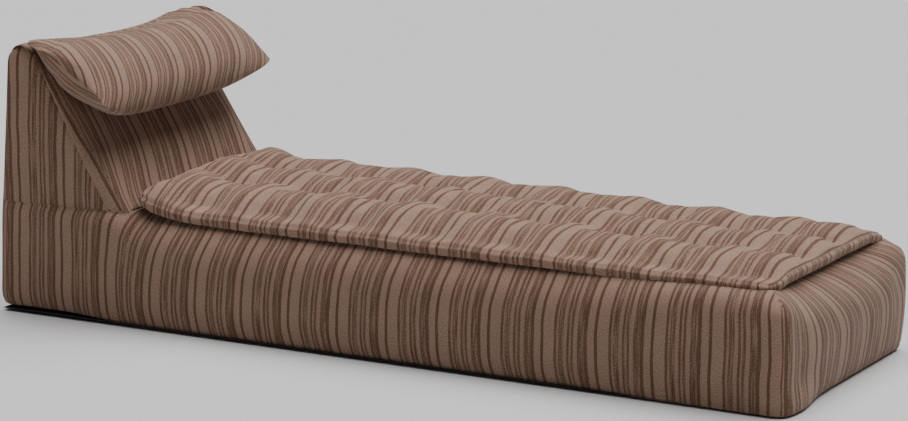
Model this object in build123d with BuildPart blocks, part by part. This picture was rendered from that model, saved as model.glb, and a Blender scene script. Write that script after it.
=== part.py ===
from build123d import *
from math import acos, cos, degrees, radians, sin, sqrt
import os

os.makedirs("parts", exist_ok=True)

# Upholstered daybed: a long padded base with a wedge backrest at its head, a hinged head pillow
# sewn along the ridge of the backrest, and a loose tufted topper that lies on the base.
# Millimetres, +Z up. X runs along the bed from the head (-X) to the foot (+X), Y across it.
# The origin is under the middle of the bed, on the floor.

# ---------------------------------------------------------------- driving dimensions
LENGTH = 2360.0          # outer length, back of the backrest to the swell of the foot end
HALF_WIDTH = 405.0       # half the width of the base cover
BASE_TOP = 312.0         # top of the base cover
BASE_BOTTOM = 4.0        # lower edge of the base cover, just clear of the floor
EDGE_R = 42.0            # rounded upper edges and corners of the base
COVER = 4.0              # cloth with its backing wadding
HEM = 35.0               # width of the hem turned under the base

# The foot end rolls over a tight arc and swells on a wide one, down to the floor line.
FOOT_EDGE_R = 90.0
FOOT_SWELL_R = 450.0
FOOT_ROLL = 75.0

BACK_HALF = 398.0        # half the width of the backrest
BACK_EDGE_R = 14.0       # softened side edges of the backrest
RIDGE_R = 33.0           # rolled top of the backrest
SLOPE_X, SLOPE_Z = 110.0, 735.0                 # a point of the sloping face
SLOPE_RUN = 1.0 / 1.311                         # run of the face for each mm of drop
REAR_X, REAR_LEAN = 15.0, 0.0775                # rear face at the base top, and its lean
SEAM_X, SEAM_RUN = 102.0, 0.5753                # seam between slope cover and side cover

RAIL_T, RAIL_H = 22.0, 85.0                     # timber rails of the plinth frame
FRAME_HEAD, FRAME_FOOT = 34.0, 2288.0           # frame ends, from the rear of the bed
FRAME_HALF = 362.0                              # half the frame's width
DUST_T = 1.5                                    # cloth stretched under the frame
DECK_T = 9.0                                    # plywood deck
CROSS_X = (520.0, 960.0, 1400.0, 1840.0)        # cross rails
CROSS_H = 60.0
HOUSING = 8.0                                   # housings that hold the cross rails
BLOCK = 70.0                                    # corner blocks
GLIDE_X = (80.0, 800.0, 1540.0, 2240.0)
GLIDE_R, GLIDE_H = 17.0, 8.0

GUSSET_T = 18.0                                 # plywood webs of the backrest
GUSSET_Y = (-353.0, -118.0, 118.0, 353.0)
GUSSET_REAR = 36.0
WEB_TOP, BOARD_TOP = 640.0, 690.0
BOARD_T, PANEL_T = 10.4, 6.0                    # slope board and rear panel, along X
FOOT_RAIL_H = 60.0
TAB_X, TAB_L = (110.0, 250.0), 60.0             # tabs that lock each web into the deck
BOLT_Y = (-235.0, -60.0, 60.0, 235.0)

TOPPER_HEAD, TOPPER_FOOT = 438.0, 2318.0        # loose tufted topper
TOPPER_HALF = 358.0
TOPPER_R = 40.0
TOPPER_EDGE = 26.0                              # height of its edge
TOPPER_CROWN = 70.0                             # height of the filling at its middle
CROWN_RUN = 190.0                               # length over which the ends rise to it
TICK = 3.0                                      # its cloth
CORE_T = 19.0                                   # top of its foam core, and of its sewn border
TUFT_X0, TUFT_PITCH, TUFT_COUNT = 620.0, 232.0, 8
TUFT_ROW, TUFT_OUTER = 100.0, 300.0
TUFT_DEEP, TUFT_SHALLOW = 46.0, 28.0            # height of the pulled-down points
POCKET_R, POCKET_H = 16.0, 26.0                 # foot and height of the pocket round each one
OVERCUT = 8.0                                   # profiles run this far past the outline they meet

FLAP_T, FLAP_HALF = 3.0, 384.0                  # cloth strip over the ridge
PILLOW_HALF = 445.0
PILLOW_GAP = 0.5                                # play between the pillow and the backrest
PILLOW_CLOTH = 3.0
NECK_R = 4.0                                    # sewn edge on which the pillow turns
NECK_ANGLE = 60.0                               # where that edge lies on the ridge

# ---------------------------------------------------------------- derived dimensions
FOOT_START = LENGTH - FOOT_EDGE_R * sin(radians(FOOT_ROLL))
FOOT_START -= FOOT_SWELL_R * (1 - sin(radians(FOOT_ROLL)))
FOOT_DROP = BASE_TOP - BASE_BOTTOM - FOOT_EDGE_R * (1 - cos(radians(FOOT_ROLL)))
FOOT_END = degrees(acos(cos(radians(FOOT_ROLL)) - FOOT_DROP / FOOT_SWELL_R))
FRAME_Z = BASE_BOTTOM + COVER + DUST_T
DECK_Z = FRAME_Z + RAIL_H
DECK_TOP = DECK_Z + DECK_T
FRAME_LEN = FRAME_FOOT - FRAME_HEAD
TOPPER_Z = BASE_TOP + 0.4
TOPPER_LEN = TOPPER_FOOT - TOPPER_HEAD


def at(x):
    """Distance from the rear of the bed, as a coordinate along X."""
    return x - LENGTH / 2.0


def seam_x(z, back=0.0):
    """Seam plane of the backrest at height z, or a plane parallel to it further back."""
    return SEAM_X + (SLOPE_Z - z) * SEAM_RUN - back


def rear_x(z, inward=0.0):
    """Rear face of the backrest at height z, or a plane parallel to it further in."""
    return REAR_X + REAR_LEAN * (z - BASE_TOP) + inward


def apex(inset):
    """Where the rear face and the slope meet when both are moved in by inset."""
    rear_shift = inset * sqrt(1 + REAR_LEAN**2)
    slope_shift = inset * sqrt(1 + SLOPE_RUN**2)
    run = SLOPE_X - slope_shift + SLOPE_Z * SLOPE_RUN - REAR_X + REAR_LEAN * BASE_TOP - rear_shift
    z = run / (REAR_LEAN + SLOPE_RUN)
    return REAR_X + REAR_LEAN * (z - BASE_TOP) + rear_shift, z


def wedge(inset):
    """The three corners of the backrest's side profile, moved in by inset above the base."""
    x, z = apex(inset)
    rear = x + REAR_LEAN * (BASE_TOP - z)
    front = x + SLOPE_RUN * (z - BASE_TOP)
    return [(at(rear), BASE_TOP), (at(x), z), (at(front), BASE_TOP)]


RIDGE_X, RIDGE_Z = apex(RIDGE_R)
NECK_REACH = RIDGE_R + FLAP_T + PILLOW_GAP + NECK_R
HINGE_X = RIDGE_X + NECK_REACH * cos(radians(NECK_ANGLE))
HINGE_Z = RIDGE_Z + NECK_REACH * sin(radians(NECK_ANGLE))
NECK_PLANE = Plane(
    origin=(at(HINGE_X), 0, HINGE_Z), x_dir=(0, 1, 0),
    z_dir=(sin(radians(NECK_ANGLE)), 0, -cos(radians(NECK_ANGLE))),
)
SEAM_PLANE = Plane(origin=(at(SEAM_X), 0, SLOPE_Z), x_dir=(0, 1, 0), z_dir=(1, 0, SEAM_RUN))

# ---------------------------------------------------------------- base: outer form and hollow
# The long side profile is drawn once and then offset for the hollow, so that the cover keeps
# one thickness all round.
with BuildSketch(Plane.XZ) as base_profile:
    with BuildLine():
        b1 = Line((at(9), BASE_BOTTOM), (at(0), 34))
        b2 = Line(b1 @ 1, (at(REAR_X), BASE_TOP))
        b3 = Line(b2 @ 1, (at(FOOT_START), BASE_TOP))
        b4 = JernArc(b3 @ 1, (1, 0), FOOT_EDGE_R, -FOOT_ROLL)
        b5 = JernArc(b4 @ 1, b4 % 1, FOOT_SWELL_R, FOOT_ROLL - FOOT_END)
        b6 = Line(b5 @ 1, b1 @ 0)
    make_face()

with BuildSketch(Plane.XZ) as base_hollow_profile:
    offset(base_profile.sketch_local, amount=-COVER)

with BuildPart() as base_outer:
    extrude(base_profile.sketch, amount=HALF_WIDTH, both=True)
    outer_top = base_outer.edges().filter_by(Axis.X).group_by(Axis.Z)[-1]
    outer_foot = base_outer.edges().filter_by(GeomType.CIRCLE)
    fillet(outer_top + outer_foot, EDGE_R)

with BuildPart() as base_inner:
    extrude(base_hollow_profile.sketch, amount=HALF_WIDTH - COVER, both=True)
    inner_top = base_inner.edges().filter_by(Axis.X).group_by(Axis.Z)[-1]
    inner_foot = base_inner.edges().filter_by(GeomType.CIRCLE)
    fillet(inner_top + inner_foot, EDGE_R - COVER)

# ---------------------------------------------------------------- backrest: outer form and hollow
with BuildSketch(Plane.XZ) as back_profile:
    with BuildLine():
        Polyline(*wedge(0), close=True)
    make_face()
    fillet(back_profile.vertices().sort_by(Axis.Y)[-1], RIDGE_R)

with BuildSketch(Plane.XZ) as back_hollow_profile:
    with BuildLine():
        Polyline(*wedge(COVER), close=True)
    make_face()
    fillet(back_hollow_profile.vertices().sort_by(Axis.Y)[-1], RIDGE_R - COVER)

with BuildPart() as back_outer:
    extrude(back_profile.sketch, amount=BACK_HALF, both=True)
    rims = back_outer.edges().filter_by(Axis.Y, reverse=True)
    fillet(rims.filter_by(lambda e: e.center().Z > BASE_TOP + 1), BACK_EDGE_R)

with BuildPart() as back_inner:
    extrude(back_hollow_profile.sketch, amount=BACK_HALF - COVER, both=True)
    rims = back_inner.edges().filter_by(Axis.Y, reverse=True)
    fillet(rims.filter_by(lambda e: e.center().Z > BASE_TOP + 1), BACK_EDGE_R - COVER)

# ---------------------------------------------------------------- plinth frame
with BuildPart() as side_rail_near:
    with BuildSketch(Plane.XY.offset(FRAME_Z)):
        with Locations((at(FRAME_HEAD + FRAME_LEN / 2), RAIL_T / 2 - FRAME_HALF)):
            Rectangle(FRAME_LEN, RAIL_T)
    extrude(amount=RAIL_H)
    with BuildSketch(Plane.XY.offset(DECK_Z - CROSS_H)):
        with Locations(*[(at(x), RAIL_T - HOUSING / 2 - FRAME_HALF) for x in CROSS_X]):
            Rectangle(RAIL_T, HOUSING)
    extrude(amount=CROSS_H, mode=Mode.SUBTRACT)

with BuildPart() as side_rail_far:
    mirror(side_rail_near.part, about=Plane.XZ)

with BuildPart() as head_rail:
    with BuildSketch(Plane.XY.offset(FRAME_Z)):
        with Locations((at(FRAME_HEAD + RAIL_T / 2), 0)):
            Rectangle(RAIL_T, 2 * (FRAME_HALF - RAIL_T))
    extrude(amount=RAIL_H)

with BuildPart() as foot_rail:
    with BuildSketch(Plane.XY.offset(FRAME_Z)):
        with Locations((at(FRAME_FOOT - RAIL_T / 2), 0)):
            Rectangle(RAIL_T, 2 * (FRAME_HALF - RAIL_T))
    extrude(amount=RAIL_H)

# Each cross rail is let into the side rails and relieved underneath by a shallow arch.
with BuildPart() as cross_rails:
    with BuildSketch(Plane.YZ.offset(at(CROSS_X[0]) - RAIL_T / 2)):
        with BuildLine():
            r1 = Line((-348, DECK_Z), (348, DECK_Z))
            r2 = Line(r1 @ 1, (348, DECK_Z - CROSS_H))
            r3 = Line(r2 @ 1, (280, DECK_Z - CROSS_H))
            r4 = ThreePointArc(r3 @ 1, (0, DECK_Z - CROSS_H + 20), (-280, DECK_Z - CROSS_H))
            r5 = Line(r4 @ 1, (-348, DECK_Z - CROSS_H))
            r6 = Line(r5 @ 1, r1 @ 0)
        make_face()
    extrude(amount=RAIL_T)
    first = cross_rails.part
    for x in CROSS_X[1:]:
        add(first.moved(Location((x - CROSS_X[0], 0, 0))))

with BuildPart() as corner_blocks:
    with BuildSketch(Plane.XY.offset(FRAME_Z)):
        inner_head, inner_foot_x = at(FRAME_HEAD + RAIL_T), at(FRAME_FOOT - RAIL_T)
        inner_y = FRAME_HALF - RAIL_T
        for side in (-1, 1):
            with BuildLine():
                Polyline(
                    (inner_head, side * inner_y), (inner_head + BLOCK, side * inner_y),
                    (inner_head, side * (inner_y - BLOCK)), close=True,
                )
            make_face()
            with BuildLine():
                Polyline(
                    (inner_foot_x, side * inner_y), (inner_foot_x - BLOCK, side * inner_y),
                    (inner_foot_x, side * (inner_y - BLOCK)), close=True,
                )
            make_face()
    extrude(amount=RAIL_H)

with BuildPart() as deck_panel:
    with BuildSketch(Plane.XY.offset(DECK_Z)):
        with Locations((at(FRAME_HEAD + FRAME_LEN / 2), 0)):
            Rectangle(FRAME_LEN, 2 * FRAME_HALF)
        with Locations(*[(at(x + 60), y) for x in (740, 1180, 1620) for y in (-170, 170)]):
            SlotOverall(160, 34, mode=Mode.SUBTRACT)
        with Locations(*[(at(x), y) for x in TAB_X for y in GUSSET_Y]):
            Rectangle(TAB_L, GUSSET_T, mode=Mode.SUBTRACT)
        with Locations(*[(at(seam_x(BASE_TOP, BOARD_T) - 11), y) for y in BOLT_Y]):
            Circle(4.5, mode=Mode.SUBTRACT)
    extrude(amount=DECK_T)

# ---------------------------------------------------------------- dust cover, glides, base foam
with BuildPart() as dust_cover:
    add(base_inner.part)
    split(bisect_by=Plane.XY.offset(FRAME_Z), keep=Keep.BOTTOM)
    with BuildSketch(Plane.XY.offset(FRAME_Z - DUST_T)):
        with Locations(*[(at(x), y) for x in GLIDE_X for y in (-351, 351)]):
            Circle(6)
    extrude(amount=DUST_T, mode=Mode.SUBTRACT)

with BuildPart() as glides:
    with BuildSketch(Plane.XZ) as glide_section:
        with BuildLine():
            g1 = Line((0, 0), (GLIDE_R - 4, 0))
            g2 = ThreePointArc(g1 @ 1, (GLIDE_R - 1.2, 1.2), (GLIDE_R, 4))
            g3 = Line(g2 @ 1, (GLIDE_R, GLIDE_H))
            g4 = Polyline(g3 @ 1, (5, GLIDE_H), (5, FRAME_Z), (0, FRAME_Z), (0, 0))
        make_face()
    revolve(axis=Axis.Z)
    glide = glides.part
    for x in GLIDE_X:
        for y in (-351, 351):
            add(glide.moved(Location((at(x), y, 0))))
    add(glide, mode=Mode.SUBTRACT)

with BuildPart() as base_foam:
    add(base_inner.part)
    split(bisect_by=Plane.XY.offset(FRAME_Z), keep=Keep.TOP)
    with BuildSketch(Plane.XY.offset(FRAME_Z)):
        with Locations((at(FRAME_HEAD + FRAME_LEN / 2), 0)):
            Rectangle(FRAME_LEN, 2 * FRAME_HALF)
    extrude(amount=DECK_TOP - FRAME_Z, mode=Mode.SUBTRACT)
    with BuildSketch(Plane.XY.offset(DECK_TOP)):
        with Locations((at((GUSSET_REAR + seam_x(BASE_TOP, BOARD_T)) / 2), 0)):
            Rectangle(seam_x(BASE_TOP, BOARD_T) - GUSSET_REAR, 2 * FRAME_HALF)
    extrude(amount=BASE_TOP - DECK_TOP, mode=Mode.SUBTRACT)

with BuildPart() as base_cover:
    add(base_outer.part)
    add(base_inner.part, mode=Mode.SUBTRACT)
    with BuildSketch(Plane.XY.offset(BASE_BOTTOM)):
        with Locations((at((HEM + 2342 - HEM) / 2), 0)):
            Rectangle(2342 - 2 * HEM, 2 * (HALF_WIDTH - HEM))
    extrude(amount=COVER, mode=Mode.SUBTRACT)
    with BuildSketch(Plane.XY.offset(BASE_TOP - COVER)):
        with Locations((at((GUSSET_REAR + seam_x(BASE_TOP, BOARD_T)) / 2), 0)):
            Rectangle(seam_x(BASE_TOP, BOARD_T) - GUSSET_REAR, 2 * FRAME_HALF)
    extrude(amount=COVER, mode=Mode.SUBTRACT)

# ---------------------------------------------------------------- backrest frame
WEB_FRONT = seam_x(BASE_TOP, BOARD_T)

with BuildPart() as back_gussets:
    with BuildSketch(Plane.XZ) as web:
        with BuildLine():
            Polyline(
                (at(GUSSET_REAR), DECK_TOP), (at(GUSSET_REAR), BASE_TOP + 6),
                (at(rear_x(WEB_TOP, 20)), WEB_TOP), (at(seam_x(WEB_TOP, BOARD_T)), WEB_TOP),
                (at(WEB_FRONT), BASE_TOP), (at(WEB_FRONT), DECK_TOP), close=True,
            )
        make_face()
        with Locations((at(GUSSET_REAR + RAIL_T / 2), DECK_TOP + FOOT_RAIL_H / 2)):
            Rectangle(RAIL_T, FOOT_RAIL_H, mode=Mode.SUBTRACT)
        with Locations((at(WEB_FRONT - RAIL_T / 2), DECK_TOP + FOOT_RAIL_H / 2)):
            Rectangle(RAIL_T, FOOT_RAIL_H, mode=Mode.SUBTRACT)
        with Locations((at(WEB_FRONT - RAIL_T / 2), BASE_TOP - FOOT_RAIL_H / 2)):
            Rectangle(RAIL_T, FOOT_RAIL_H, mode=Mode.SUBTRACT)
        with Locations(*[(at(x), DECK_TOP - DECK_T / 2) for x in TAB_X]):
            Rectangle(TAB_L, DECK_T)
        with BuildSketch(mode=Mode.PRIVATE) as window:
            with BuildLine():
                Polyline((at(96), 200), (at(104), 520), (at(256), 200), close=True)
            make_face()
            fillet(window.vertices(), 22)
        add(window.sketch, mode=Mode.SUBTRACT)
    for y in GUSSET_Y:
        extrude(web.sketch.moved(Location((0, y + GUSSET_T / 2, 0))), amount=GUSSET_T)

with BuildPart() as back_foot_rails:
    with BuildSketch(Plane.XY.offset(DECK_TOP)):
        with Locations((at(GUSSET_REAR + RAIL_T / 2), 0), (at(WEB_FRONT - RAIL_T / 2), 0)):
            Rectangle(RAIL_T, 2 * FRAME_HALF)
        with Locations(*[(at(WEB_FRONT - RAIL_T / 2), y) for y in BOLT_Y]):
            Circle(4.5, mode=Mode.SUBTRACT)
    extrude(amount=FOOT_RAIL_H)

with BuildPart() as back_slope_rail:
    with BuildSketch(Plane.XY.offset(BASE_TOP - FOOT_RAIL_H)):
        with Locations((at(WEB_FRONT - RAIL_T / 2), 0)):
            Rectangle(RAIL_T, 2 * FRAME_HALF)
    extrude(amount=FOOT_RAIL_H)

with BuildPart() as back_ridge_rail:
    with BuildSketch(Plane.XZ):
        with BuildLine():
            Polyline(
                (at(rear_x(WEB_TOP, 20)), WEB_TOP), (at(seam_x(WEB_TOP, BOARD_T)), WEB_TOP),
                (at(seam_x(BOARD_TOP, BOARD_T)), BOARD_TOP), (at(rear_x(BOARD_TOP, 20)), BOARD_TOP),
                close=True,
            )
        make_face()
    extrude(amount=FRAME_HALF, both=True)

with BuildPart() as back_slope_board:
    with BuildSketch(Plane.XZ):
        with BuildLine():
            Polyline(
                (at(seam_x(BASE_TOP, BOARD_T)), BASE_TOP), (at(seam_x(BASE_TOP)), BASE_TOP),
                (at(seam_x(BOARD_TOP)), BOARD_TOP), (at(seam_x(BOARD_TOP, BOARD_T)), BOARD_TOP),
                close=True,
            )
        make_face()
    extrude(amount=FRAME_HALF, both=True)

with BuildPart() as back_rear_panel:
    with BuildSketch(Plane.XZ):
        with BuildLine():
            Polyline(
                (at(rear_x(BASE_TOP + 6, 14)), BASE_TOP + 6), (at(rear_x(BASE_TOP + 6, 20)), BASE_TOP + 6),
                (at(rear_x(BOARD_TOP, 20)), BOARD_TOP), (at(rear_x(BOARD_TOP, 14)), BOARD_TOP),
                close=True,
            )
        make_face()
    extrude(amount=FRAME_HALF, both=True)

with BuildPart() as back_bolts:
    with BuildSketch(Plane.XY.offset(DECK_TOP + FOOT_RAIL_H)):
        with Locations(*[(at(WEB_FRONT - RAIL_T / 2), y) for y in BOLT_Y]):
            RegularPolygon(7, 6)
    extrude(amount=5.5)
    with BuildSketch(Plane.XY.offset(DECK_TOP + FOOT_RAIL_H)):
        with Locations(*[(at(WEB_FRONT - RAIL_T / 2), y) for y in BOLT_Y]):
            Circle(4)
    extrude(amount=-(FOOT_RAIL_H + DECK_T + 12))

with BuildPart() as back_nuts:
    with BuildSketch(Plane.XY.offset(DECK_Z)):
        with Locations(*[(at(WEB_FRONT - RAIL_T / 2), y) for y in BOLT_Y]):
            RegularPolygon(7, 6)
            Circle(4.2, mode=Mode.SUBTRACT)
    extrude(amount=-6.5)

# ---------------------------------------------------------------- backrest padding and covers
# The slope pad is a wedge of foam in front of the seam plane: thin at the ridge, thick at the
# seat. The wadding wraps the sides, the rear and the ridge behind that plane.
with BuildPart() as back_pad:
    add(back_inner.part)
    split(bisect_by=SEAM_PLANE, keep=Keep.TOP)

with BuildPart() as back_wadding:
    add(back_inner.part)
    split(bisect_by=SEAM_PLANE, keep=Keep.BOTTOM)
    with BuildSketch(Plane.XZ):
        with BuildLine():
            Polyline(
                (at(rear_x(BASE_TOP, 14)), BASE_TOP), (at(rear_x(BOARD_TOP, 14)), BOARD_TOP),
                (at(seam_x(BOARD_TOP)), BOARD_TOP), (at(seam_x(BASE_TOP)), BASE_TOP), close=True,
            )
        make_face()
    extrude(amount=FRAME_HALF, both=True, mode=Mode.SUBTRACT)

with BuildPart() as back_cover:
    add(back_outer.part)
    add(back_inner.part, mode=Mode.SUBTRACT)
    split(bisect_by=SEAM_PLANE, keep=Keep.BOTTOM)

with BuildPart() as slope_cover:
    add(back_outer.part)
    add(back_inner.part, mode=Mode.SUBTRACT)
    split(bisect_by=SEAM_PLANE, keep=Keep.TOP)

# A strip of the same cloth is folded over the ridge and carries the pillow.
with BuildPart() as ridge_flap:
    with BuildSketch(Plane.XZ):
        with Locations((at(RIDGE_X), RIDGE_Z)):
            Circle(RIDGE_R + FLAP_T)
            Circle(RIDGE_R, mode=Mode.SUBTRACT)
        with BuildLine():
            Polyline(
                (at(RIDGE_X), RIDGE_Z),
                (at(RIDGE_X) + 100 * cos(radians(56)), RIDGE_Z + 100 * sin(radians(56))),
                (at(RIDGE_X) - 90, RIDGE_Z + 90), (at(RIDGE_X) - 100, RIDGE_Z + 14), close=True,
            )
        make_face(mode=Mode.INTERSECT)
    extrude(amount=FLAP_HALF, both=True)

# ---------------------------------------------------------------- head pillow
# Teardrop section, drawn for the middle and for the flat knife edge at each end. Sections
# between them are blends, so that the filling swells out of the corners.
PILLOW_MID = (
    (95, 759), (140, 757), (200, 746), (270, 716), (333, 668), (376, 612),
    (376, 562), (345, 539), (290, 545), (215, 572), (130, 650), (84, 742),
)
PILLOW_END = (
    (112, 757), (150, 739), (205, 708), (265, 673), (325, 638), (381, 602),
    (379, 595), (322, 629), (262, 664), (202, 699), (147, 730), (108, 750),
)
BLENDS = ((-445, 1.0), (-434, 0.72), (-405, 0.40), (-340, 0.13), (-240, 0.02), (-80, 0.0))


def pillow_section(blend, inset=0.0):
    """Points of one pillow section, between the full middle (0) and the knife edge (1)."""
    points = []
    for (mx, mz), (ex, ez) in zip(PILLOW_MID, PILLOW_END):
        points.append(Vector(at(mx + (ex - mx) * blend), mz + (ez - mz) * blend))
    middle = sum(points, Vector()) / len(points)
    drawn = [p - (p - middle).normalized() * inset for p in points]
    return [(p.X, p.Y) for p in drawn]


def stations(near):
    """The stations of the near half, followed by their mirror images."""
    return list(near) + [(-y, blend) for y, blend in reversed(near)]


with BuildPart() as pillow_form:
    for y, blend in stations(BLENDS):
        with BuildSketch(Plane.XZ.offset(-y)):
            with BuildLine():
                Spline(*pillow_section(blend), periodic=True)
            make_face()
    loft()

with BuildPart() as filling_form:
    for y, blend in stations([(y + PILLOW_CLOTH, blend) for y, blend in BLENDS[1:]]):
        with BuildSketch(Plane.XZ.offset(-y)):
            with BuildLine():
                Spline(*pillow_section(blend, 1.6 * PILLOW_CLOTH), periodic=True)
            make_face()
    loft()

# What the pillow must stay clear of: the backrest and the flap, with the play added, and all
# that lies behind its own sewn edge.
with BuildSketch(Plane.XZ) as seat_profile:
    with BuildLine():
        Polyline(*wedge(-PILLOW_GAP), close=True)
    make_face()
    fillet(seat_profile.vertices().sort_by(Axis.Y)[-1], RIDGE_R + PILLOW_GAP)
    with Locations((at(RIDGE_X), RIDGE_Z)):
        Circle(RIDGE_R + FLAP_T + PILLOW_GAP)

with BuildPart() as seat:
    extrude(seat_profile.sketch, amount=PILLOW_HALF + 20, both=True)

with BuildSketch(Plane.XZ) as filling_seat_profile:
    with BuildLine():
        Polyline(*wedge(-PILLOW_GAP - PILLOW_CLOTH), close=True)
    make_face()
    fillet(filling_seat_profile.vertices().sort_by(Axis.Y)[-1], RIDGE_R + PILLOW_GAP + PILLOW_CLOTH)
    with Locations((at(RIDGE_X), RIDGE_Z)):
        Circle(RIDGE_R + FLAP_T + PILLOW_GAP + PILLOW_CLOTH)

with BuildPart() as filling_seat:
    extrude(filling_seat_profile.sketch, amount=PILLOW_HALF + 20, both=True)

with BuildPart() as pillow_outer:
    add(pillow_form.part)
    add(seat.part, mode=Mode.SUBTRACT)
    split(bisect_by=NECK_PLANE, keep=Keep.TOP)
    with BuildSketch(Plane.XZ):
        with Locations((at(HINGE_X), HINGE_Z)):
            Circle(NECK_R)
    extrude(amount=FLAP_HALF, both=True)

with BuildPart() as pillow_fill:
    add(filling_form.part)
    add(filling_seat.part, mode=Mode.SUBTRACT)
    split(bisect_by=NECK_PLANE.offset(12), keep=Keep.TOP)

with BuildPart() as pillow_cover:
    add(pillow_outer.part)
    add(pillow_fill.part, mode=Mode.SUBTRACT)

# ---------------------------------------------------------------- tufted topper
TUFT_MID = at(TUFT_X0 + TUFT_PITCH * (TUFT_COUNT - 1) / 2)


def topper_outline(inset):
    """Rounded outline of the topper, moved in by inset."""
    return RectangleRounded(TOPPER_LEN - 2 * inset, 2 * (TOPPER_HALF - inset), TOPPER_R - inset)


def crowned(inset):
    """The tufted filling above the core, moved in and down by inset.

    It is crowned both ways, as the crossing of two long profiles and a rounded outline. Tufts pull
    it down in four rows of cones, deeper along the middle.
    """
    low = TOPPER_Z + CORE_T
    edge = TOPPER_Z + TOPPER_EDGE - inset
    crown = TOPPER_Z + TOPPER_CROWN - inset
    half = TOPPER_HALF - inset + OVERCUT
    head, foot = at(TOPPER_HEAD) + inset - OVERCUT, at(TOPPER_FOOT) - inset + OVERCUT
    with BuildPart() as form:
        with BuildSketch(Plane.YZ.offset(head)):
            with BuildLine():
                t1 = Polyline((-half, edge - 2), (-half, low), (half, low), (half, edge - 2))
                ThreePointArc(t1 @ 1, (0, crown), t1 @ 0)
            make_face()
        extrude(amount=foot - head)
        with BuildSketch(Plane.XZ):
            with BuildLine():
                rise = (edge + crown) / 2
                u1 = Polyline((head, edge - 2), (head, low), (foot, low), (foot, edge - 2))
                u2 = ThreePointArc(
                    u1 @ 1, (foot - CROWN_RUN * 0.3, rise), (foot - CROWN_RUN, crown + OVERCUT)
                )
                u3 = Line(u2 @ 1, (head + CROWN_RUN, crown + OVERCUT))
                ThreePointArc(u3 @ 1, (head + CROWN_RUN * 0.3, rise), u1 @ 0)
            make_face()
        extrude(amount=half, both=True, mode=Mode.INTERSECT)
        with BuildSketch(Plane.XY.offset(low)):
            with Locations((at((TOPPER_HEAD + TOPPER_FOOT) / 2), 0)):
                topper_outline(inset)
        extrude(amount=TOPPER_CROWN, mode=Mode.INTERSECT)
        for row, depth, mouth in ((TUFT_ROW, TUFT_DEEP, 66), (TUFT_OUTER, TUFT_SHALLOW, 60)):
            with Locations((TUFT_MID, 0, TOPPER_Z + depth - inset + POCKET_H / 2)):
                with GridLocations(TUFT_PITCH, 2 * row, TUFT_COUNT, 2):
                    Cone(POCKET_R, mouth, POCKET_H, mode=Mode.SUBTRACT)
    return form.part


topper_outer = crowned(0)

with BuildPart() as topper_wadding:
    add(crowned(TICK))

with BuildPart() as topper_top:
    add(topper_outer)
    add(topper_wadding.part, mode=Mode.SUBTRACT)

with BuildPart() as topper_border:
    with BuildSketch(Plane.XY.offset(TOPPER_Z)):
        with Locations((at((TOPPER_HEAD + TOPPER_FOOT) / 2), 0)):
            topper_outline(0)
            RectangleRounded(
                TOPPER_LEN - 2 * TICK, 2 * (TOPPER_HALF - TICK), TOPPER_R - TICK, mode=Mode.SUBTRACT
            )
    extrude(amount=CORE_T)

with BuildPart() as topper_base:
    with BuildSketch(Plane.XY.offset(TOPPER_Z)):
        with Locations((at((TOPPER_HEAD + TOPPER_FOOT) / 2), 0)):
            topper_outline(TICK)
    extrude(amount=TICK)

with BuildPart() as topper_core:
    with BuildSketch(Plane.XY.offset(TOPPER_Z + TICK)):
        with Locations((at((TOPPER_HEAD + TOPPER_FOOT) / 2), 0)):
            topper_outline(TICK)
    extrude(amount=CORE_T - TICK)

with BuildPart() as topper_tufts:
    with Locations((TUFT_MID, 0, TOPPER_Z + TUFT_DEEP)):
        with GridLocations(TUFT_PITCH, 2 * TUFT_ROW, TUFT_COUNT, 2):
            Box(28, 4, 2, align=(Align.CENTER, Align.CENTER, Align.MIN))
    with Locations((TUFT_MID, 0, TOPPER_Z + TUFT_SHALLOW)):
        with GridLocations(TUFT_PITCH, 2 * TUFT_OUTER, TUFT_COUNT, 2):
            Box(28, 4, 2, align=(Align.CENTER, Align.CENTER, Align.MIN))

# ---------------------------------------------------------------- one file for each piece
side_rail_near.part.label = "side_rail_near"
export_step(side_rail_near.part, "parts/side_rail_near.step")

side_rail_far.part.label = "side_rail_far"
export_step(side_rail_far.part, "parts/side_rail_far.step")

head_rail.part.label = "head_rail"
export_step(head_rail.part, "parts/head_rail.step")

foot_rail.part.label = "foot_rail"
export_step(foot_rail.part, "parts/foot_rail.step")

cross_rails.part.label = "cross_rails"
export_step(cross_rails.part, "parts/cross_rails.step")

corner_blocks.part.label = "corner_blocks"
export_step(corner_blocks.part, "parts/corner_blocks.step")

deck_panel.part.label = "deck_panel"
export_step(deck_panel.part, "parts/deck_panel.step")

dust_cover.part.label = "dust_cover"
export_step(dust_cover.part, "parts/dust_cover.step")

glides.part.label = "glides"
export_step(glides.part, "parts/glides.step")

base_foam.part.label = "base_foam"
export_step(base_foam.part, "parts/base_foam.step")

base_cover.part.label = "base_cover"
export_step(base_cover.part, "parts/base_cover.step")

back_gussets.part.label = "back_gussets"
export_step(back_gussets.part, "parts/back_gussets.step")

back_foot_rails.part.label = "back_foot_rails"
export_step(back_foot_rails.part, "parts/back_foot_rails.step")

back_slope_rail.part.label = "back_slope_rail"
export_step(back_slope_rail.part, "parts/back_slope_rail.step")

back_ridge_rail.part.label = "back_ridge_rail"
export_step(back_ridge_rail.part, "parts/back_ridge_rail.step")

back_slope_board.part.label = "back_slope_board"
export_step(back_slope_board.part, "parts/back_slope_board.step")

back_rear_panel.part.label = "back_rear_panel"
export_step(back_rear_panel.part, "parts/back_rear_panel.step")

back_bolts.part.label = "back_bolts"
export_step(back_bolts.part, "parts/back_bolts.step")

back_nuts.part.label = "back_nuts"
export_step(back_nuts.part, "parts/back_nuts.step")

back_pad.part.label = "back_pad"
export_step(back_pad.part, "parts/back_pad.step")

back_wadding.part.label = "back_wadding"
export_step(back_wadding.part, "parts/back_wadding.step")

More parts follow.
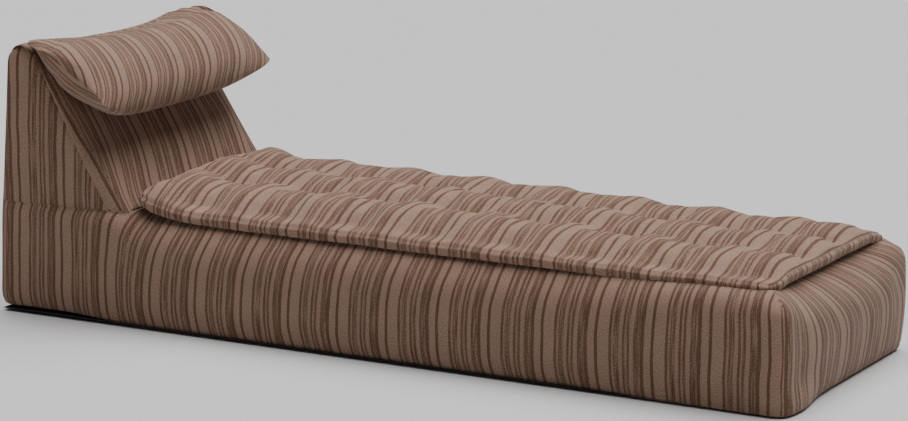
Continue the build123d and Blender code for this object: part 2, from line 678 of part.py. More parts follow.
back_cover.part.label = "back_cover"
export_step(back_cover.part, "parts/back_cover.step")

slope_cover.part.label = "slope_cover"
export_step(slope_cover.part, "parts/slope_cover.step")

ridge_flap.part.label = "ridge_flap"
export_step(ridge_flap.part, "parts/ridge_flap.step")

pillow_cover.part.label = "pillow_cover"
export_step(pillow_cover.part, "parts/pillow_cover.step")

pillow_fill.part.label = "pillow_fill"
export_step(pillow_fill.part, "parts/pillow_fill.step")

topper_border.part.label = "topper_border"
export_step(topper_border.part, "parts/topper_border.step")

topper_base.part.label = "topper_base"
export_step(topper_base.part, "parts/topper_base.step")

topper_core.part.label = "topper_core"
export_step(topper_core.part, "parts/topper_core.step")

topper_wadding.part.label = "topper_wadding"
export_step(topper_wadding.part, "parts/topper_wadding.step")

topper_top.part.label = "topper_top"
export_step(topper_top.part, "parts/topper_top.step")

topper_tufts.part.label = "topper_tufts"
export_step(topper_tufts.part, "parts/topper_tufts.step")
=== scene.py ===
import math

import bmesh
import bpy
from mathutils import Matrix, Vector, noise


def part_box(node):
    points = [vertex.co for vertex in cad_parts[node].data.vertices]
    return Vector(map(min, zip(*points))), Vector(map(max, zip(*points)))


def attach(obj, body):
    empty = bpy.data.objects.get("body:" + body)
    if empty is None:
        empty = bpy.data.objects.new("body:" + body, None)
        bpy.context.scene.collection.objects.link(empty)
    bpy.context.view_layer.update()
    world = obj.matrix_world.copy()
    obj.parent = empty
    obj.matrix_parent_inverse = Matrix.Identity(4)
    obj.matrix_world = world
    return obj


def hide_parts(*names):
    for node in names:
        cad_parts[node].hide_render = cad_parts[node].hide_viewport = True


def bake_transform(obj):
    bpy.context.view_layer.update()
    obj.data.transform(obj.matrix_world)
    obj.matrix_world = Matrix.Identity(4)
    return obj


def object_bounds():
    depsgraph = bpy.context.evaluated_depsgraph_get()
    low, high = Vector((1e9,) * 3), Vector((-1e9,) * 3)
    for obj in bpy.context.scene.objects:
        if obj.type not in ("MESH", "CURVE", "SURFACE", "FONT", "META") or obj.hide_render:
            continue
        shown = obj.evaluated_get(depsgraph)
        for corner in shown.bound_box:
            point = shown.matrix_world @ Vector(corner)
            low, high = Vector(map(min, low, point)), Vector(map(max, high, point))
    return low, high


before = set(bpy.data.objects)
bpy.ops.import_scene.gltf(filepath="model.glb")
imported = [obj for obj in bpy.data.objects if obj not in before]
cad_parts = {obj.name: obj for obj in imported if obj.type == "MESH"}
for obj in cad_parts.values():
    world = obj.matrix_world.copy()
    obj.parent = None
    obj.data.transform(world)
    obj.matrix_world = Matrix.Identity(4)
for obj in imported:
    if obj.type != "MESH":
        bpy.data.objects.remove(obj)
cad_low, cad_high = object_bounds()

# Upholstered daybed: a striped cloth body with a wedge backrest, a head pillow sewn along the ridge,
# and a loose tufted topper. Metres. X runs from the head to the foot, Y across, Z up.

# ------------------------------------------------------------------ sizes, from the frame
HEAD = cad_low.x                                  # rear of the bed
LENGTH = cad_high.x - cad_low.x
BASE_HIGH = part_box("base_cover")[1]
HALF_WIDTH = BASE_HIGH.y
BASE_TOP = BASE_HIGH.z
TOPPER_LOW, TOPPER_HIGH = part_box("topper_top")
STRIP_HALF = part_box("ridge_flap")[1].y            # half the width of the strip over the ridge


def at(x):
    """Distance from the rear of the bed, as a coordinate along X."""
    return HEAD + x


# Backrest profile, in distances from the rear of the bed.
RIDGE_X, RIDGE_Z, RIDGE_R = 0.0765, 0.7203, 0.033
RIDGE_SAG, SAG_PLACE = 0.036, 0.17                # how far the soft ridge sinks, and where it is lowest
SAG_START, NEAR_SAG, FAR_SAG = -0.43, 0.60, 0.26  # where it starts to sink, and how long both sides are
SLOPE_FOOT = 0.408
SEAM_X, SEAM_Z, SEAM_RUN = 0.102, 0.735, 0.5753
WRAP_X, WRAP_RUN = 0.121, 0.671                   # front edge of the sloping face, seen from the side
REAR_HALF, SLOPE_HALF = 0.401, 0.362              # half-width of the backrest at its rear and its slope
CELL = 0.021                                      # size of a face of the base and backrest

STRIPE_REPEAT = 0.152
# Places of the thick lines along the sides: the first, the step to the next, and how the steps grow.
FIRST_LINE, LINE_STEP, LINE_STRETCH = 0.078, 0.14147, 0.00056
# Places of the thick lines across the bed, on the sloping face, the foot end and the pillow.
SLOPE_LINES = (-0.602, -0.450, -0.2975, -0.145, 0.065, 0.2075, 0.350, 0.492, 0.634)
FOOT_LINES = (-0.640, -0.440, -0.240, -0.040, 0.092, 0.224, 0.356, 0.488, 0.620, 0.752, 0.884, 1.016)
PILLOW_LINES = (-0.790, -0.648, -0.506, -0.365, -0.224, -0.083, 0.050, 0.217, 0.380, 0.530, 0.672, 0.814)


# ------------------------------------------------------------------ small helpers
def clamp(value, low=0.0, high=1.0):
    return max(low, min(high, value))


def smooth(value):
    """Soft step from 0 to 1."""
    value = clamp(value)
    return value * value * (3 - 2 * value)


def part_way(value, start, span):
    """How far a value has come over a span from start, from 0 to 1; a span below 0 runs backwards."""
    return clamp((value - start) / span)


def eased(value, start, span):
    """The same, with a soft start and end."""
    return smooth(part_way(value, start, span))


def mix(a, b, share):
    return a + (b - a) * share


def ripple(point, size, seed=0.0):
    """Soft noise from -1 to 1, with bumps about as wide as size."""
    return noise.noise(Vector((point[0] / size + seed, point[1] / size - seed, point[2] / size + 2 * seed)))


def line_place(lines, y):
    """Cloth coordinate at a place across the bed, where the thick lines fall at the places of lines."""
    i = 0
    while i < len(lines) - 2 and y > lines[i + 1]:
        i += 1
    return STRIPE_REPEAT * (i + (y - lines[i]) / (lines[i + 1] - lines[i]))


def steps(low, high, size):
    """Evenly spaced places between low and high, without the ends, at most size apart."""
    count = max(1, round((high - low) / size))
    return [low + (high - low) * i / count for i in range(1, count)]


def cut(bm, axis, places):
    """Cuts the mesh with planes square to an axis."""
    normal = Vector([1 if i == axis else 0 for i in range(3)])
    for place in places:
        geometry = bm.verts[:] + bm.edges[:] + bm.faces[:]
        bmesh.ops.bisect_plane(bm, geom=geometry, dist=1e-5, plane_co=normal * place, plane_no=normal)


def block(bm, low, high):
    """A closed box between two corners."""
    made = bmesh.ops.create_cube(bm, size=1.0)["verts"]
    size, middle = high - low, (high + low) / 2
    bmesh.ops.scale(bm, vec=size, verts=made)
    bmesh.ops.translate(bm, vec=middle, verts=made)
    return made


def raise_faces(bm, faces, height):
    """Extrudes some faces of the mesh straight up."""
    grown = bmesh.ops.extrude_face_region(bm, geom=faces)["geom"]
    lifted = [v for v in grown if isinstance(v, bmesh.types.BMVert)]
    bmesh.ops.translate(bm, vec=(0, 0, height), verts=lifted)


SIMULATED_STEPS = 20                              # frames over which a cloth is inflated


def finish_piece(bm, name, material, body=None):
    """Turns a bmesh into a smooth object; it rides on a body, when one is given."""
    mesh = bpy.data.meshes.new(name)
    bm.to_mesh(mesh)
    bm.free()
    piece = bpy.data.objects.new(name, mesh)
    bpy.context.scene.collection.objects.link(piece)
    mesh.materials.append(material)
    mesh.polygons.foreach_set("use_smooth", [True] * len(mesh.polygons))
    if body:
        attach(piece, body)
    return piece


def rounded(piece, levels=1):
    """Subdivision surface, the same in view and render."""
    modifier = piece.modifiers.new("rounded", "SUBSURF")
    modifier.levels = levels
    modifier.render_levels = levels
    return piece


def thickened(piece, thickness, offset):
    """Gives an open cloth its thickness: offset -1 lays it inside the shape, and 0 on both sides."""
    modifier = piece.modifiers.new("thickness", "SOLIDIFY")
    modifier.thickness = thickness
    modifier.offset = offset
    return piece


def simulate(piece, held, cap):
    """Inflates a closed cloth with Blender's Cloth and keeps the result in its mesh.
    held gives how firmly each point is held, from 0 to 1, and cap limits how far a point may move."""
    mesh, scene = piece.data, bpy.context.scene
    before = [v.co.copy() for v in mesh.vertices]
    group = piece.vertex_groups.new(name="held")
    for vert in mesh.vertices:
        grip = held(vert.co)
        if grip > 0:
            group.add([vert.index], grip, "REPLACE")
    cloth = piece.modifiers.new("cloth", "CLOTH")
    settings = cloth.settings
    settings.quality = 6
    settings.mass = 0.3
    settings.tension_stiffness = settings.compression_stiffness = 18
    settings.shear_stiffness = 6
    settings.bending_stiffness = 0.6
    settings.use_pressure = True
    settings.uniform_pressure_force = 4.0
    settings.shrink_min = -0.02
    settings.vertex_group_mass = "held"
    settings.effector_weights.gravity = 0
    cloth.collision_settings.use_collision = False
    for step in range(1, SIMULATED_STEPS + 1):
        scene.frame_set(step)
    shaped = piece.evaluated_get(bpy.context.evaluated_depsgraph_get()).to_mesh()
    after = [v.co.copy() for v in shaped.vertices]
    piece.modifiers.remove(cloth)
    piece.vertex_groups.remove(group)
    scene.frame_set(1)
    for vert, old, new in zip(mesh.vertices, before, after):
        move = new - old
        if move.length > cap:
            move *= cap / move.length
        vert.co = old + move


# ------------------------------------------------------------------ cloth and other finishes
# One repeat of the woven stripe: where each band ends, as a share of the repeat, and how much of it the
# brown yarn covers.
BANDS = (
    (0.012, 1.0), (0.214, 0.0), (0.260, 0.92), (0.298, 0.16), (0.316, 0.80), (0.370, 0.64), (0.388, 0.72),
    (0.452, 0.05), (0.496, 0.90), (0.530, 0.18), (0.576, 0.84), (0.650, 0.03), (0.690, 0.84), (0.742, 0.70),
    (0.772, 0.50), (0.834, 0.97), (0.958, 0.0), (1.0, 1.0),
)
GROUND_YARN = (0.300, 0.190, 0.137)
BROWN_YARN = (0.120, 0.058, 0.034)
STRIPE_WANDER, STRIPE_FRAY = 0.008, 0.0030        # how far stripes and their edges stray, in metres
YARN_PITCH = 0.0024


def value_node(nodes, links, operation, a, b=None, c=None):
    """A Math node on sockets or numbers."""
    node = nodes.new("ShaderNodeMath")
    node.operation = operation
    for i, source in enumerate((a, b, c)):
        if source is None:
            continue
        if isinstance(source, (int, float)):
            node.inputs[i].default_value = source
        else:
            links.new(source, node.inputs[i])
    return node.outputs[0]


def band_ramp(nodes, links, source):
    """A stepped ramp over one stripe repeat: the share of brown yarn in each band."""
    ramp = nodes.new("ShaderNodeValToRGB")
    ramp.color_ramp.interpolation = "CONSTANT"
    stops = ramp.color_ramp.elements
    while len(stops) > 1:
        stops.remove(stops[-1])
    start = 0.0
    for i, (end, cover) in enumerate(BANDS):
        stop = stops[0] if i == 0 else stops.new(start)
        stop.position = start
        stop.color = (cover, cover, cover, 1.0)
        start = end
    links.new(source, ramp.inputs["Fac"])
    return ramp.outputs["Color"]


def cloth_noise(nodes, links, source, scale, detail=1.0):
    """Noise over the cloth map, with its own scale across and along the stripes."""
    stretch = nodes.new("ShaderNodeMapping")
    stretch.inputs["Scale"].default_value = (*scale, 1.0)
    links.new(source, stretch.inputs["Vector"])
    texture = nodes.new("ShaderNodeTexNoise")
    texture.inputs["Scale"].default_value = 1.0
    texture.inputs["Detail"].default_value = detail
    links.new(stretch.outputs[0], texture.inputs["Vector"])
    return texture.outputs[0]


def stripe_share(nodes, links, cloth, across, shift):
    """Place within one stripe repeat, from 0 to 1. The stripes wander a little once the cloth is
    stretched over foam, and single yarns fray their edges."""
    wander = cloth_noise(nodes, links, cloth, (7.0, 9.0))
    fray = cloth_noise(nodes, links, cloth, (160.0, 420.0), 0.0)
    place = value_node(nodes, links, "ADD", across, shift)
    place = value_node(nodes, links, "MULTIPLY_ADD", wander, STRIPE_WANDER, place)
    place = value_node(nodes, links, "MULTIPLY_ADD", fray, STRIPE_FRAY, place)
    share = value_node(nodes, links, "DIVIDE", place, STRIPE_REPEAT)
    return value_node(nodes, links, "FRACT", share)


def brown_cover(nodes, links, cloth, share):
    """How much of the cloth the brown yarn covers: where it covers only part of a band, it comes up in
    fine lines of dots."""
    cover = band_ramp(nodes, links, share)
    dots = cloth_noise(nodes, links, cloth, (300.0, 420.0), 0.0)
    threads = cloth_noise(nodes, links, cloth, (380.0, 12.0), 0.0)
    spread = value_node(nodes, links, "SUBTRACT", 1.06, cover)
    spread = value_node(nodes, links, "MULTIPLY", spread, cover)
    spread = value_node(nodes, links, "MULTIPLY", spread, 7.0)
    dash = value_node(nodes, links, "MULTIPLY_ADD", threads, 1.1, dots)
    dash = value_node(nodes, links, "SUBTRACT", dash, 1.05)
    covered = value_node(nodes, links, "MULTIPLY_ADD", dash, spread, cover)
    covered = value_node(nodes, links, "MINIMUM", covered, 1.0)
    return value_node(nodes, links, "MAXIMUM", covered, 0.0)


def yarn_colour(nodes, links, cloth, covered, slubs):
    """Colour of the yarns, with uneven dye over a hand's breadth and single darker and lighter picks."""
    yarns = nodes.new("ShaderNodeMix")
    yarns.data_type = "RGBA"
    links.new(covered, yarns.inputs["Factor"])
    yarns.inputs["A"].default_value = (*GROUND_YARN, 1.0)
    yarns.inputs["B"].default_value = (*BROWN_YARN, 1.0)
    patches = cloth_noise(nodes, links, cloth, (14.0, 14.0), 3.0)
    melange = cloth_noise(nodes, links, cloth, (330.0, 260.0), 0.0)
    tone = value_node(nodes, links, "MULTIPLY_ADD", patches, 0.22, 0.28)
    tone = value_node(nodes, links, "MULTIPLY_ADD", slubs, 0.26, tone)
    tone = value_node(nodes, links, "MULTIPLY_ADD", melange, 0.96, tone)
    toned = nodes.new("ShaderNodeVectorMath")
    toned.operation = "SCALE"
    links.new(yarns.outputs["Result"], toned.inputs[0])
    links.new(tone, toned.inputs["Scale"])
    return toned.outputs[0]


def yarn_height(nodes, links, across, along, covered, slubs):
    """Plain weave: two sets of yarns, one over the other by turns, with the brown yarn standing higher."""
    warp = value_node(nodes, links, "MULTIPLY", across, 2 * math.pi / YARN_PITCH)
    weft = value_node(nodes, links, "MULTIPLY", along, 2 * math.pi / YARN_PITCH)
    warp = value_node(nodes, links, "SINE", warp)
    weft = value_node(nodes, links, "SINE", weft)
    crossing = value_node(nodes, links, "MULTIPLY", warp, weft)
    height = value_node(nodes, links, "MULTIPLY_ADD", crossing, 0.5, covered)
    return value_node(nodes, links, "ADD", height, slubs)


def weave_group():
    """Striped weave for every cloth of the bed: colour, height and roughness from a cloth map in metres."""
    group = bpy.data.node_groups.new("striped_weave", "ShaderNodeTree")
    group.interface.new_socket("Cloth", in_out="INPUT", socket_type="NodeSocketVector")
    group.interface.new_socket("Shift", in_out="INPUT", socket_type="NodeSocketFloat")
    group.interface.new_socket("Color", in_out="OUTPUT", socket_type="NodeSocketColor")
    group.interface.new_socket("Height", in_out="OUTPUT", socket_type="NodeSocketFloat")
    group.interface.new_socket("Roughness", in_out="OUTPUT", socket_type="NodeSocketFloat")
    nodes, links = group.nodes, group.links
    given = nodes.new("NodeGroupInput")
    out = nodes.new("NodeGroupOutput")
    cloth = given.outputs["Cloth"]
    split = nodes.new("ShaderNodeSeparateXYZ")
    links.new(cloth, split.inputs[0])
    across, along = split.outputs["X"], split.outputs["Y"]
    share = stripe_share(nodes, links, cloth, across, given.outputs["Shift"])
    covered = brown_cover(nodes, links, cloth, share)
    slubs = cloth_noise(nodes, links, cloth, (60.0, 420.0), 1.0)
    links.new(yarn_colour(nodes, links, cloth, covered, slubs), out.inputs["Color"])
    links.new(yarn_height(nodes, links, across, along, covered, slubs), out.inputs["Height"])
    rough = value_node(nodes, links, "MULTIPLY_ADD", covered, 0.06, 0.84)
    links.new(rough, out.inputs["Roughness"])
    return group


def striped_cloth(name, shift):
    """One cloth of the bed: the same weave, with the stripes shifted."""
    material = bpy.data.materials.new(name)
    material.use_nodes = True
    nodes, links = material.node_tree.nodes, material.node_tree.links
    shader = nodes["Principled BSDF"]
    cloth_map = nodes.new("ShaderNodeUVMap")
    cloth_map.uv_map = "cloth"
    weave = nodes.new("ShaderNodeGroup")
    weave.node_tree = WEAVE
    weave.inputs["Shift"].default_value = shift
    links.new(cloth_map.outputs[0], weave.inputs["Cloth"])
    links.new(weave.outputs["Color"], shader.inputs["Base Color"])
    links.new(weave.outputs["Roughness"], shader.inputs["Roughness"])
    bump = nodes.new("ShaderNodeBump")
    bump.inputs["Strength"].default_value = 0.35
    bump.inputs["Distance"].default_value = 0.0007
    links.new(weave.outputs["Height"], bump.inputs["Height"])
    links.new(bump.outputs[0], shader.inputs["Normal"])
    shader.inputs["Sheen Weight"].default_value = 0.12
    shader.inputs["Sheen Roughness"].default_value = 0.5
    shader.inputs["Specular IOR Level"].default_value = 0.25
    return material


def grained(name, base, dark, roughness, scale, stretch, bump=0.15, metallic=0.0):
    """A plain procedural finish: two tones over a noise that may be stretched along one axis."""
    material = bpy.data.materials.new(name)
    material.use_nodes = True
    nodes, links = material.node_tree.nodes, material.node_tree.links
    shader = nodes["Principled BSDF"]
    place = nodes.new("ShaderNodeTexCoord")
    mapping = nodes.new("ShaderNodeMapping")
    mapping.inputs["Scale"].default_value = stretch
    links.new(place.outputs["Object"], mapping.inputs["Vector"])
    grain = nodes.new("ShaderNodeTexNoise")
    grain.inputs["Scale"].default_value = scale
    grain.inputs["Detail"].default_value = 4.0
    links.new(mapping.outputs[0], grain.inputs["Vector"])
    ramp = nodes.new("ShaderNodeValToRGB")
    ramp.color_ramp.elements[0].position = 0.32
    ramp.color_ramp.elements[0].color = (*dark, 1.0)
    ramp.color_ramp.elements[1].position = 0.68
    ramp.color_ramp.elements[1].color = (*base, 1.0)
    links.new(grain.outputs[0], ramp.inputs["Fac"])
    links.new(ramp.outputs["Color"], shader.inputs["Base Color"])
    rough = value_node(nodes, links, "MULTIPLY_ADD", grain.outputs[0], 0.15, roughness - 0.07)
    links.new(rough, shader.inputs["Roughness"])
    shader.inputs["Metallic"].default_value = metallic
    relief = nodes.new("ShaderNodeBump")
    relief.inputs["Strength"].default_value = bump
    relief.inputs["Distance"].default_value = 0.0006
    links.new(grain.outputs[0], relief.inputs["Height"])
    links.new(relief.outputs[0], shader.inputs["Normal"])
    return material


WEAVE = weave_group()
CLOTH = striped_cloth("striped_cloth", 0.0)

EVEN = (1.0, 1.0, 1.0)                            # a grain that runs the same way in all directions
# Name, light tone, dark tone, roughness, grain size and grain stretch, then relief and metal.
FINISHES = {
    "timber": grained("planed_pine", (0.60, 0.40, 0.21), (0.42, 0.25, 0.12), 0.62, 6.0, (2.0, 14.0, 14.0)),
    "plywood": grained("birch_plywood", (0.66, 0.49, 0.30), (0.52, 0.36, 0.20), 0.58, 5.0, (2.5, 9.0, 18.0)),
    "foam": grained("pale_foam", (0.76, 0.70, 0.53), (0.66, 0.60, 0.44), 0.92, 420.0, EVEN, 0.5),
    "wadding": grained("white_wadding", (0.84, 0.84, 0.81), (0.72, 0.72, 0.69), 0.95, 90.0, EVEN, 0.6),
    "dust": grained("black_lining", (0.028, 0.028, 0.030), (0.014, 0.014, 0.015), 0.85, 500.0, EVEN, 0.4),
    "zinc": grained("zinc_plating", (0.58, 0.59, 0.60), (0.44, 0.45, 0.46), 0.34, 60.0, EVEN, 0.1, 1.0),
    "nylon": grained("black_nylon", (0.030, 0.030, 0.030), (0.018, 0.018, 0.018), 0.48, 160.0, EVEN),
    "thread": grained("tufting_thread", (0.16, 0.115, 0.09), (0.08, 0.055, 0.04), 0.8, 900.0, EVEN, 0.5),
}
INNER_NODES = {
    "timber": ("side_rail_near", "side_rail_far", "head_rail", "foot_rail", "cross_rails", "corner_blocks",
               "back_foot_rails", "back_slope_rail", "back_ridge_rail"),
    "plywood": ("deck_panel", "back_gussets", "back_slope_board", "back_rear_panel"),
    "foam": ("base_foam", "back_pad", "topper_core"),
    "wadding": ("back_wadding", "pillow_fill", "topper_wadding"),
    "dust": ("dust_cover",),
    "zinc": ("back_bolts", "back_nuts"),
    "nylon": ("glides",),
}
for finish_name, node_names in INNER_NODES.items():
    for node_name in node_names:
        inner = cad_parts[node_name]
        inner.data.materials.clear()
        inner.data.materials.append(FINISHES[finish_name])


# ------------------------------------------------------------------ base and backrest cloth
HEM_LOW = 0.004                                   # lower edge of the cover
HEM_SEAM, HEM_TOP = 0.0215, 0.025                 # seam over the hem, and the cut above it
HEM_GROOVE = 0.0030                               # how deep that seam is drawn in
HEM_LIFT = 0.013                                  # how far the hem rides up at the head
HEM_WIDTH, HEM_THICKNESS = 0.035, 0.011           # the part of the hem turned underneath
RISE = 0.40                                       # height of the unshaped backrest block
SIDE_ROLL, CORNER_ROLL, FOOT_ROLL = 0.130, 0.066, 0.120         # rolled upper edges of the seat
HEAD_ROLL, SHOULDER_ROLL = 0.010, 0.036           # the same at the head, and at the foot of the backrest
CORNER_R, FAR_CORNER_R, REAR_R = 0.036, 0.024, 0.016
END_REACH = 0.3                                   # how far an end's own shape reaches along the bed
FOOT_BULGE, BULGE_TOP = 0.017, 0.32               # how far the foot end swells, and up to what height
KICK_OUT, KICK_Y, KICK_WIDTH = 0.024, -0.31, 0.11   # the hem that stands out near a corner of the foot
REAR_LEAN = 0.013                                 # how far the rear end leans in at its top
SIDE_DRAW = 0.010                                 # how far the sides draw in at the floor
STEP_IN = 0.004                                   # small draw-ins of the hem at both ends
SLOPE_NORMAL = Vector((0.827, 0.0, 0.562))
WEDGE_TOP, WEDGE_HEIGHT = 0.08, 0.43              # the shaped backrest, over its ridge and up its faces
SLOPE_EDGE_R, REAR_EDGE_R, RIDGE_EDGE_R = 0.034, 0.014, 0.020
REAR_TURN, SLOPE_TURN = 175.6, 34.2               # degrees round the ridge where the two faces leave it
SLOPE_SWELL, MIDDLE_SWELL, SIDE_SWELL = 0.010, 0.005, 0.006
BOARD_COVER = 0.28                                # share of the sag that is filled over the board
SEAM_BAND, SEAM_DEPTH = 0.007, 0.0030             # the diagonal seam: half its width, and its depth
SLOPE_GROWTH = 1.3                                # length of the sloping face for each metre of rise
SLOPE_CLOTH_T, COVER_GAP = 0.0022, 0.0026         # the slope's cloth, and how far the cover lies under it
PANELS = {"side": 0, "top": 1, "foot": 2, "rear": 3, "slope": 4, "ridge": 5, "under": 6, "back": 7}


def round_pair(u, v, radius, share=0.5):
    """Rounds the edge between two faces: takes and returns a point's distances to both faces.
    share is the part of the quarter turn that falls on the first face's side."""
    p, q = radius - u, radius - v
    if p <= 0 or q <= 0:
        return u, v
    reach = max(p, q)
    turn = share * q / p if p >= q else 1 - (1 - share) * p / q
    angle = turn * math.pi / 2
    return radius - reach * math.cos(angle), radius - reach * math.sin(angle)


def rolled(p, side):
    """Rolls the edges of the plain box: a point's place from the rear, from the side and from the floor."""
    foot, edge, top = LENGTH - p.x, HALF_WIDTH - abs(p.y), BASE_TOP - p.z
    seat = eased(p.x - SLOPE_FOOT, -0.06, 0.14)
    seat_roll = mix(SIDE_ROLL, CORNER_ROLL, eased(p.x, 1.60, 0.70))
    head_roll = mix(HEAD_ROLL, SHOULDER_ROLL, part_way(p.x, 0.0, SLOPE_FOOT))
    edge, top = round_pair(edge, top, mix(head_roll, seat_roll, seat), mix(0.92, 0.5, seat))
    foot, top = round_pair(foot, top, mix(CORNER_ROLL, FOOT_ROLL, eased(edge, 0.02, 0.18)))
    foot, edge = round_pair(foot, edge, CORNER_R if side < 0 else FAR_CORNER_R)
    rear, edge = round_pair(LENGTH - foot, edge, REAR_R)
    return rear, edge, BASE_TOP - top


def base_skin(p):
    """Shapes a point of the plain box into the upholstered base."""
    side = 1 if p.y >= 0 else -1
    x, edge, z = rolled(p, side)
    by_foot, by_head = 1 - part_way(LENGTH - x, 0.0, END_REACH), 1 - part_way(x, 0.0, END_REACH)
    # The foot end swells and draws in towards the floor, less so at its corners, and its hem kicks out.
    across = HALF_WIDTH - edge
    corner = eased(across, 0.24, 0.11)
    bulge = FOOT_BULGE * math.sin(math.pi * part_way(z, 0.0, BULGE_TOP)) * (1 - 0.5 * corner)
    kick = math.exp(-((across * side - KICK_Y) / KICK_WIDTH) ** 2) * part_way(z, 0.08, -0.07) * by_foot
    x += by_foot * (bulge - STEP_IN * part_way(z, 0.13, -0.13) ** 2)
    x += KICK_OUT * kick * by_foot
    # The rear end leans in a little, and the sides draw in to the floor.
    x += (REAR_LEAN * part_way(z, 0.0, BASE_TOP) + STEP_IN * part_way(z, 0.034, -0.03) ** 2) * by_head
    x -= STEP_IN * by_head
    edge += SIDE_DRAW * part_way(z, 0.07, -0.07) ** 1.5 * eased(x, 2.05, -0.3) - STEP_IN * kick
    lift = HEM_LIFT * eased(x, 0.44, -0.26) + 0.0025 * ripple((x, side, 0), 0.09) * eased(x, 0.60, -0.2)
    return Vector((x, side * (HALF_WIDTH - edge), z + lift * (1 - part_way(z, 0.0, 0.10))))


def draw_in(p, depth):
    """Moves a point of the base's wall straight in."""
    core = 0.06
    inner = Vector((clamp(p.x, core, LENGTH - core), clamp(p.y, core - HALF_WIDTH, HALF_WIDTH - core), p.z))
    outward = p - inner
    if outward.length > 1e-6:
        p -= outward.normalized() * depth
    return p


def ridge_drop(y):
    """How far the ridge has sunk at a place across the bed."""
    if y < SAG_PLACE:
        return RIDGE_SAG * math.sin(math.pi / 2 * part_way(y, SAG_START, NEAR_SAG))
    return RIDGE_SAG * math.cos(math.pi / 2 * part_way(y, SAG_PLACE, FAR_SAG)) ** 0.7


def back_skin(p):
    """Shapes a point of the block on the head end into the backrest wedge.
    s runs from the rear face to the slope, and t from the base up to the ridge."""
    side = 1 if p.y >= 0 else -1
    s, t, edge = p.x / SLOPE_FOOT, (p.z - BASE_TOP) / RISE, HALF_WIDTH - abs(p.y)
    width = mix(SLOPE_FOOT, WEDGE_TOP, t)
    front, edge = round_pair((1 - s) * width, edge, SLOPE_EDGE_R * eased(t, 0.0, 0.12))
    rear, edge = round_pair(width - front, edge, REAR_EDGE_R * t)
    above, edge = round_pair((1 - t) * WEDGE_HEIGHT, edge, RIDGE_EDGE_R)
    s, t, y = rear / width, 1 - above / WEDGE_HEIGHT, side * (HALF_WIDTH - edge)
    foot = base_skin(Vector((s * SLOPE_FOOT, y, BASE_TOP)))
    angle = math.radians(mix(REAR_TURN, SLOPE_TURN, s))
    narrow = mix(REAR_HALF, SLOPE_HALF, s) / HALF_WIDTH
    ridge = Vector((RIDGE_X + RIDGE_R * math.cos(angle), y * narrow, RIDGE_Z + RIDGE_R * math.sin(angle)))
    ridge.z -= ridge_drop(y)
    point = foot.lerp(ridge, t)
    across = 1 - (y / HALF_WIDTH) ** 2
    outward = SLOPE_NORMAL * s ** 3
    point += outward * math.sin(math.pi * t ** 1.6) * (SLOPE_SWELL + MIDDLE_SWELL * across)
    # Where the ridge has sunk, the filling still covers the top edge of the board inside.
    point += outward * math.sin(math.pi * t ** 4) * BOARD_COVER * ridge_drop(y)
    point.y += side * SIDE_SWELL * math.sin(math.pi * t) * 4 * s * (1 - s) * (1 - across)
    return point


def panel_of(face):
    """Which panel of the cover a face of the unshaped block belongs to."""
    middle, normal = face.calc_center_median(), face.normal
    above = middle.z > BASE_TOP + 1e-4
    if abs(normal.y) > 0.9:
        return "back" if above else "side"
    if normal.x > 0.9:
        return "slope" if above else "foot"
    if normal.x < -0.9:
        return "rear"
    if normal.z < 0:
        return "under"
    if above:
        return "ridge"
    return "foot" if LENGTH - middle.x < min(0.09, HALF_WIDTH - abs(middle.y)) else "top"


def stripe_place(x):
    """Cloth coordinate along the bed: the cloth is pulled tighter towards the foot, so its repeat grows."""
    reach = math.sqrt(LINE_STEP ** 2 + 4 * LINE_STRETCH * (x - FIRST_LINE + 1e-9))
    return STRIPE_REPEAT * (reach - LINE_STEP) / (2 * LINE_STRETCH)


def side_drift(x, z):
    """How far the cloth of a long side is dragged along the bed, at the top edge and at the floor."""
    seat = eased(x, 0.20, 0.30) * eased(x, LENGTH - 0.03, -0.40)
    up = max(0.0, z - 0.11)
    pull = mix(0.20, 0.08, part_way(x, 0.6, 1.2))
    return seat * (pull * up * up / (up + 0.05) + 0.008 * part_way(z, 0.06, -0.06))


def foot_place(flat):
    """Cloth coordinate across the foot end: its cloth is pulled towards the near side as it rises."""
    up = max(0.0, flat.z + LENGTH - flat.x - 0.14)
    return -line_place(FOOT_LINES, flat.y + eased(flat.y, -0.42, 0.40) * up * up / (up + 0.06))


def slope_place(flat):
    """Cloth coordinate across the sloping face, whose cloth is dragged aside at its foot."""
    drag = 0.062 * part_way(flat.z - BASE_TOP, 0.16, -0.13) ** 1.4
    return line_place(SLOPE_LINES, flat.y + drag)


def cover_place(panel, flat, shaped):
    """Place on the cloth map of a point of the cover, from where it was on the plain box and is now."""
    if panel == PANELS["side"]:
        return stripe_place(flat.x - side_drift(flat.x, flat.z)), flat.z
    if panel == PANELS["back"]:
        return stripe_place(shaped.x), shaped.z
    if panel == PANELS["top"]:
        place = stripe_place(flat.x - side_drift(flat.x, flat.z))
        return place, BASE_TOP + HALF_WIDTH - abs(flat.y)
    if panel == PANELS["foot"]:
        return foot_place(flat), flat.z + LENGTH - flat.x
    if panel == PANELS["slope"]:
        return slope_place(flat), SLOPE_GROWTH * (flat.z - BASE_TOP)
    return flat.y, flat.z


def lay_cloth(bm, panel_layer, cloth_layer, plain):
    """Cloth map in metres: X runs across the stripes, Y along them. plain holds the unshaped points."""
    for face in bm.faces:
        for loop in face.loops:
            flat, shaped = plain[loop.vert.index], loop.vert.co
            loop[cloth_layer].uv = cover_place(face[panel_layer], flat, shaped)


